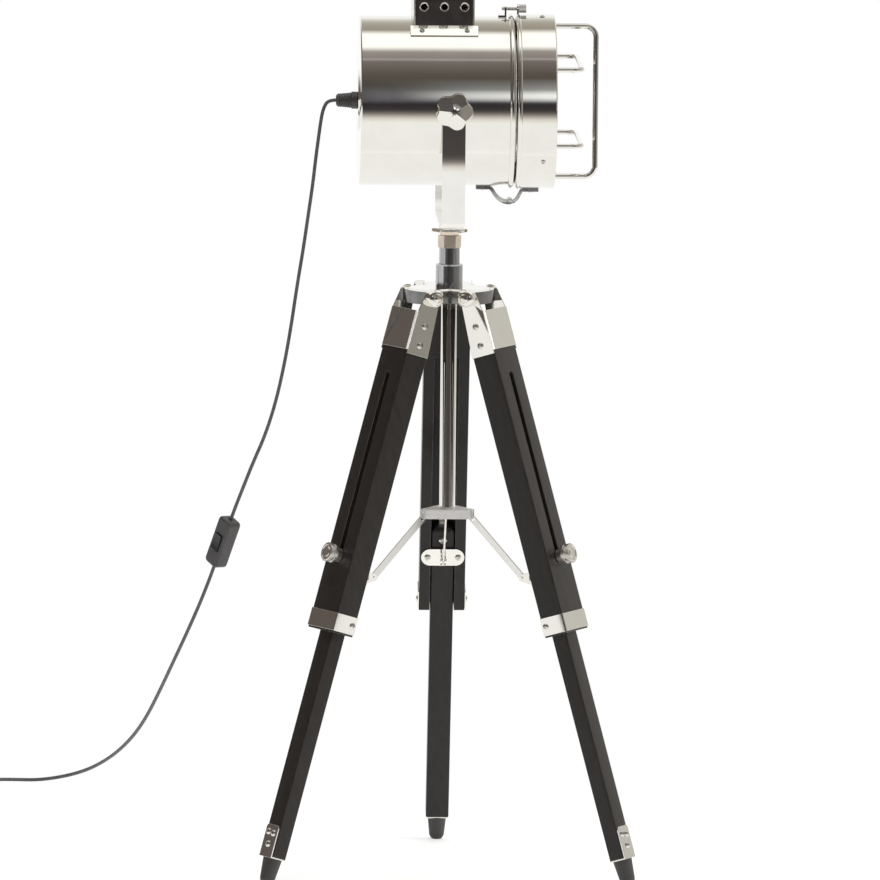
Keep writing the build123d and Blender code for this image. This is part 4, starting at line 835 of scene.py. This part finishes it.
knob_radius, knob_lobes, knob_valley, knob_flat, knob_first = 0.0209, 5, 0.0036, 0.0040, radians(-4)
knob_neck, knob_steps = 0.53, 120
facet_slope = tan(radians(20))
for way, side in ((-1, "near"), (1, "far")):
    low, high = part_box(f"pivot_knob_{side}")
    base = low.y if way > 0 else high.y
    height = (high.y - low.y) - 0.0001
    rings = [(0.22, 0.0), (0.52, 0.0), (knob_neck, 0.0022), (0.93, 0.0024), (0.985, 0.0030), (1.0, 0.0040), (1.0, None)]
    rings += [(share, None) for share in (0.992, 0.97, 0.93, 0.86, 0.74, 0.60, 0.45, 0.30, 0.15, 0.0)]
    rim_drop = {1.0: 0.0016, 0.992: 0.0008, 0.97: 0.0002}
    shape = bmesh.new()
    circles = []
    for share, out in rings:
        circle = []
        for i in range(knob_steps if share > 0 else 1):
            t = knob_first + 2 * pi * i / knob_steps
            hollow = knob_valley * (0.5 - 0.5 * cos(knob_lobes * (t - knob_first))) ** 1.3
            reach = share * (knob_radius - hollow) if share > knob_neck else share * knob_radius
            turn = (t - knob_first + pi / knob_lobes) % (2 * pi / knob_lobes) - pi / knob_lobes
            slope = facet_slope * max(0.0, reach * cos(turn) - knob_flat)
            rise = height - slope - rim_drop.get(share, 0.0) if out is None else out
            circle.append(shape.verts.new((
                column.x + way * -reach * cos(t), base + way * rise, pivot_height + reach * sin(t),
            )))
        circles.append(circle)
    skinned(shape, circles)
    knob_mesh = made_mesh(f"pivot_knob_cast_{side}", shape)
    knob_mesh.shade_smooth()
    knob_mesh.set_sharp_from_angle(angle=radians(14))
    finished(f"pivot_knob_cast_{side}", knob_mesh, f"knob_{side}", "chrome", bright_plate, f"pivot_knob_{side}")

# ---- Lamp body
# A rolled drum of polished plate with a beaded mouth, and a flat back with a shallow dish and a spun rim. A
# darker folded vent is screwed on top through its curved flange, with an eyelet in each of its holes.
pivot = Vector((column.x, column.y, pivot_height))
drum_radius, vent_middle = 0.093, -0.0095
vent_side, hole_spacing, hole_height = 0.040, 0.0222, 0.1077
flange_screw_x, flange_screw_out, flange_screw_up, flange_lean = (-0.0340, 0.0155), 0.0478, 0.0822, radians(50)
dark_plate = grained("dark_plate", ((0.50, 0.48, 0.45), (0.58, 0.56, 0.53)), 60, (0.07, 0.14), bump=0.02, Metallic=1.0)
small_head = hidden("small_head", cross_head("small_head_shape", 0.0029, 0.0017, 0.00045, 0.0013))
eyelet_profile = [
    (0.0034, -0.0012), (0.0034, 0.0006), (0.0037, 0.0011), (0.0043, 0.0013), (0.0049, 0.0010), (0.0052, 0.0004),
    (0.0052, -0.0004),
]
eyelet = hidden("eyelet", turned_mesh("eyelet_shape", eyelet_profile, 24))
eyelet_seats, body_seats = [], []
for way in (-1, 1):
    for i in (-1, 0, 1):
        hole = Vector((vent_middle + i * hole_spacing, way * (vent_side + 0.0003), hole_height))
        eyelet_seats.append((pivot + hole, (0, way, 0), (1, 0, 0)))
    for x in flange_screw_x:
        out = Vector((0, way * cos(flange_lean), sin(flange_lean)))
        body_seats.append((pivot + Vector((x, way * flange_screw_out, flange_screw_up)), out, (1, 0.4, 0)))
seated("vent_eyelets", eyelet, eyelet_seats, "head", "chrome", bright_plate)
seated("lamp_body_screws", small_head, body_seats, "head", "chrome", screw_steel, spread=1.5)
dressed(bright_plate, "drum_shell", "rear_cover")
eased_piece("vent_folding", "vent_box", 0.0005, "head", "chrome", dark_plate)
lip_long, lip_wide, lip_sheet, lip_tilt = 0.0744, 0.0156, 0.0012, radians(52)
lip_out, lip_up = 0.0470, 0.0820
lips = bmesh.new()
for way in (-1, 1):
    made = bmesh.ops.create_cube(lips, size=1.0)["verts"]
    bmesh.ops.scale(lips, verts=made, vec=(lip_long, lip_wide, lip_sheet))
    bmesh.ops.rotate(lips, verts=made, matrix=Matrix.Rotation(way * -(pi / 2 - lip_tilt), 3, "X"))
    bmesh.ops.translate(lips, verts=made, vec=pivot + Vector((vent_middle, way * lip_out, lip_up)))
bmesh.ops.bevel(
    lips, geom=lips.edges, offset=0.0003, segments=2, affect="EDGES", profile=0.5, clamp_overlap=True,
)
finished("vent_lips", made_mesh("vent_lips", lips), "head", "chrome", bright_plate)

# ---- Strain relief
# A moulded black bush in the middle of the back, where the flex comes out of the drum: a flange against
# the cover, then a ribbed sleeve that tapers to the flex.
bush_back, bush_flange, bush_sleeve = 0.1027, 0.0066, 0.0170
bush_ribs, bush_pitch, bush_girth, bush_taper = 6, 0.0025, 0.0085, 0.00022
bush_profile = [(0.0022, 0), (0.0090, 0), (0.0095, 0.0005), (0.0095, bush_flange - 0.0005), (0.0090, bush_flange)]
for i in range(bush_ribs):
    at, girth = bush_flange + 0.0006 + i * bush_pitch, bush_girth - i * bush_taper
    bush_profile += [(girth - 0.0004, at), (girth, at + 0.0004)]
    bush_profile += [(girth - 0.0001, at + 0.0017), (girth - 0.0006, at + 0.0021)]
bush_end = bush_flange + bush_sleeve
bush_profile += [(0.0064, bush_flange + 0.0160), (0.0050, bush_end), (0.0022, bush_end)]
bush_mesh = turned_mesh("strain_relief_turned", bush_profile, 36)
bush_mesh.transform(Matrix.Translation(pivot - Vector((bush_back, 0, 0))) @ Matrix.Rotation(-pi / 2, 4, "Y"))
finished("strain_relief", bush_mesh, "head", "black_plastic", moulded_black, "cord_gland")

# ---- Reflector, lampholder and bulb
# A spun and polished dish stands in the drum, round a frosted glass bulb that is screwed into a white glazed
# ceramic holder on the back of the drum.
bulb_glass = grained(
    "bulb_glass", ((0.86, 0.85, 0.82), (0.92, 0.91, 0.88)), 60, (0.3, 0.4), bump=0.02,
    Transmission_Weight=0.6, IOR=1.45,
)
mirror_dish = grained(
    "mirror_dish", ((0.84, 0.84, 0.84), (0.90, 0.90, 0.90)), 120, (0.06, 0.14), bump=0.03, Metallic=1.0,
)
glazed_white = grained("glazed_white", ((0.78, 0.77, 0.74), (0.84, 0.83, 0.80)), 200, (0.12, 0.22), bump=0.05)
dressed(mirror_dish, "reflector")
dressed(glazed_white, "lampholder")
dressed(bulb_glass, "bulb")

# ---- Door ring, lens and guards
# The plated ring is rolled and beaded like the drum, with three screws in its side. The pressed glass sits
# behind its mouth, and three bent wire guards cross in front of it.
lens_glass = grained(
    "lens_glass", ((0.93, 0.96, 0.96), (0.96, 0.98, 0.98)), 30, (0.01, 0.03), bump=0.01,
    Transmission_Weight=1.0, IOR=1.5,
)
ring_radius, ring_screw_x, ring_screw_angles = 0.0955, 0.0990, (-38.0, 82.0, 202.0)
ring_seats = []
for angle in ring_screw_angles:
    out = Vector((0, -cos(radians(angle)), sin(radians(angle))))
    ring_seats.append((pivot + Vector((ring_screw_x, 0, 0)) + out * ring_radius, out, (1, 0.3, 0)))
seated("ring_screws", small_head, ring_seats, "door", "chrome", screw_steel, spread=1.5)
dressed(bright_plate, "door_ring", "lens_guard")
dressed(lens_glass, "lens")

# ---- Door hinge and latch
# One steel leaf is screwed under the drum and one under the ring, and their bowed arms end in knuckles on
# one pin. At the top a plated bracket on the drum holds a fluted screw that keeps the ring shut.
hinge_screw_down, drum_leaf_x, door_leaf_x = 0.0040, 0.0360, 0.0880
for name, body, x, radius, slant in (
    ("drum_leaf_screws", "head", drum_leaf_x, drum_radius, 0.5),
    ("door_leaf_screws", "door", door_leaf_x, ring_radius, 0.2),
):
    leaf_seat = (pivot + Vector((x, 0, -radius - hinge_screw_down)), (0, 0, -1), (1, slant, 0))
    seated(name, small_head, [leaf_seat], body, "chrome", screw_steel, spread=1.5)
dressed(bright_plate, "latch_bracket", "latch_screw")
pin_x, pin_z, pin_girth, knuckle_girth = 0.0655, -0.1100, 0.0016, 0.0034
leaf_half, middle_half, outer_start, leaf_steps = 0.0090, 0.0028, 0.00305, 14
pin_spare, pin_head, pin_head_girth = 0.0008, 0.0009, 0.0025
leaf_steel = grained(
    "leaf_steel", ((0.40, 0.39, 0.375), (0.56, 0.55, 0.53)), 320, (0.12, 0.22), bump=0.06, Metallic=1.0,
)


def bent_leaf(name, plate, seat, sheet, bends, spans, pin):
    """A leaf with its plate, its arms bent along a smooth line down to the pin, its knuckles and maybe the pin."""
    shape = bmesh.new()
    line = []
    for i in range(leaf_steps + 1):
        t = i / leaf_steps
        share = ((1 - t) ** 3, 3 * t * (1 - t) ** 2, 3 * t * t * (1 - t), t ** 3)
        line.append(Vector([sum(w * b[k] for w, b in zip(share, bends)) for k in (0, 1)]))
    for near, far in spans:
        rings = []
        for i, place in enumerate(line):
            along = (line[min(i + 1, leaf_steps)] - line[max(i - 1, 0)]).normalized()
            side = Vector((-along.y, along.x)) * sheet / 2
            upper, lower = place + side, place - side
            rings.append([
                shape.verts.new((p.x, y, p.y)) for p, y in ((upper, near), (upper, far), (lower, far), (lower, near))
            ])
        for first, second in zip(rings, rings[1:]):
            for i in range(4):
                shape.faces.new((first[i - 1], first[i], second[i], second[i - 1]))
        shape.faces.new(rings[0])
        shape.faces.new(rings[-1])
    made = bmesh.ops.create_cube(shape, size=1.0)["verts"]
    bmesh.ops.scale(shape, verts=made, vec=(plate[1] - plate[0], 2 * leaf_half, sheet))
    bmesh.ops.translate(shape, verts=made, vec=((plate[0] + plate[1]) / 2, 0, seat - sheet / 2))
    rods = [(near, far, knuckle_girth) for near, far in spans]
    if pin:
        rods.append((-leaf_half - pin_spare, leaf_half + pin_spare, pin_girth))
        rods.append((-leaf_half - pin_head, -leaf_half, pin_head_girth))
        rods.append((leaf_half, leaf_half + pin_head, pin_head_girth))
    for near, far, girth in rods:
        made = bmesh.ops.create_cone(
            shape, segments=28, radius1=girth, radius2=girth, depth=far - near, cap_ends=True,
        )["verts"]
        bmesh.ops.rotate(shape, verts=made, matrix=Matrix.Rotation(pi / 2, 3, "X"))
        bmesh.ops.translate(shape, verts=made, vec=(pin_x, (near + far) / 2, pin_z))
    bmesh.ops.recalc_face_normals(shape, faces=shape.faces)
    mesh = made_mesh(name, shape)
    mesh.transform(Matrix.Translation(pivot))
    return eased(name, mesh, 0.0005, 35)


drum_leaf = bent_leaf(
    "drum_leaf_bent", (0.0280, 0.0440), -drum_radius, 0.0040,
    ((0.0425, -0.0950), (0.0475, -0.0950), (0.0485, -0.1108), (0.0645, -0.1114)),
    ((-leaf_half, -outer_start), (outer_start, leaf_half)), True,
)
door_leaf = bent_leaf(
    "door_leaf_bent", (0.0790, 0.0970), -ring_radius, 0.0040,
    ((0.0805, -0.0975), (0.0760, -0.0975), (0.0765, -0.1106), (0.0665, -0.1114)),
    ((-middle_half, middle_half),), False,
)
finished("drum_leaf_bent", drum_leaf, "head", "chrome", leaf_steel, "drum_hinge_leaf")
finished("door_leaf_bent", door_leaf, "door", "chrome", leaf_steel, "door_hinge_leaf")

# ---- Size
# The heads, eyelet, rib and cap that served as patterns leave the scene, because their copies are real
# The box of all shown pieces is then worked out.
for pattern in (pan_head, small_head, eyelet, mill_rib, nut_cap):
    bpy.data.objects.remove(pattern)
low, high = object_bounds()
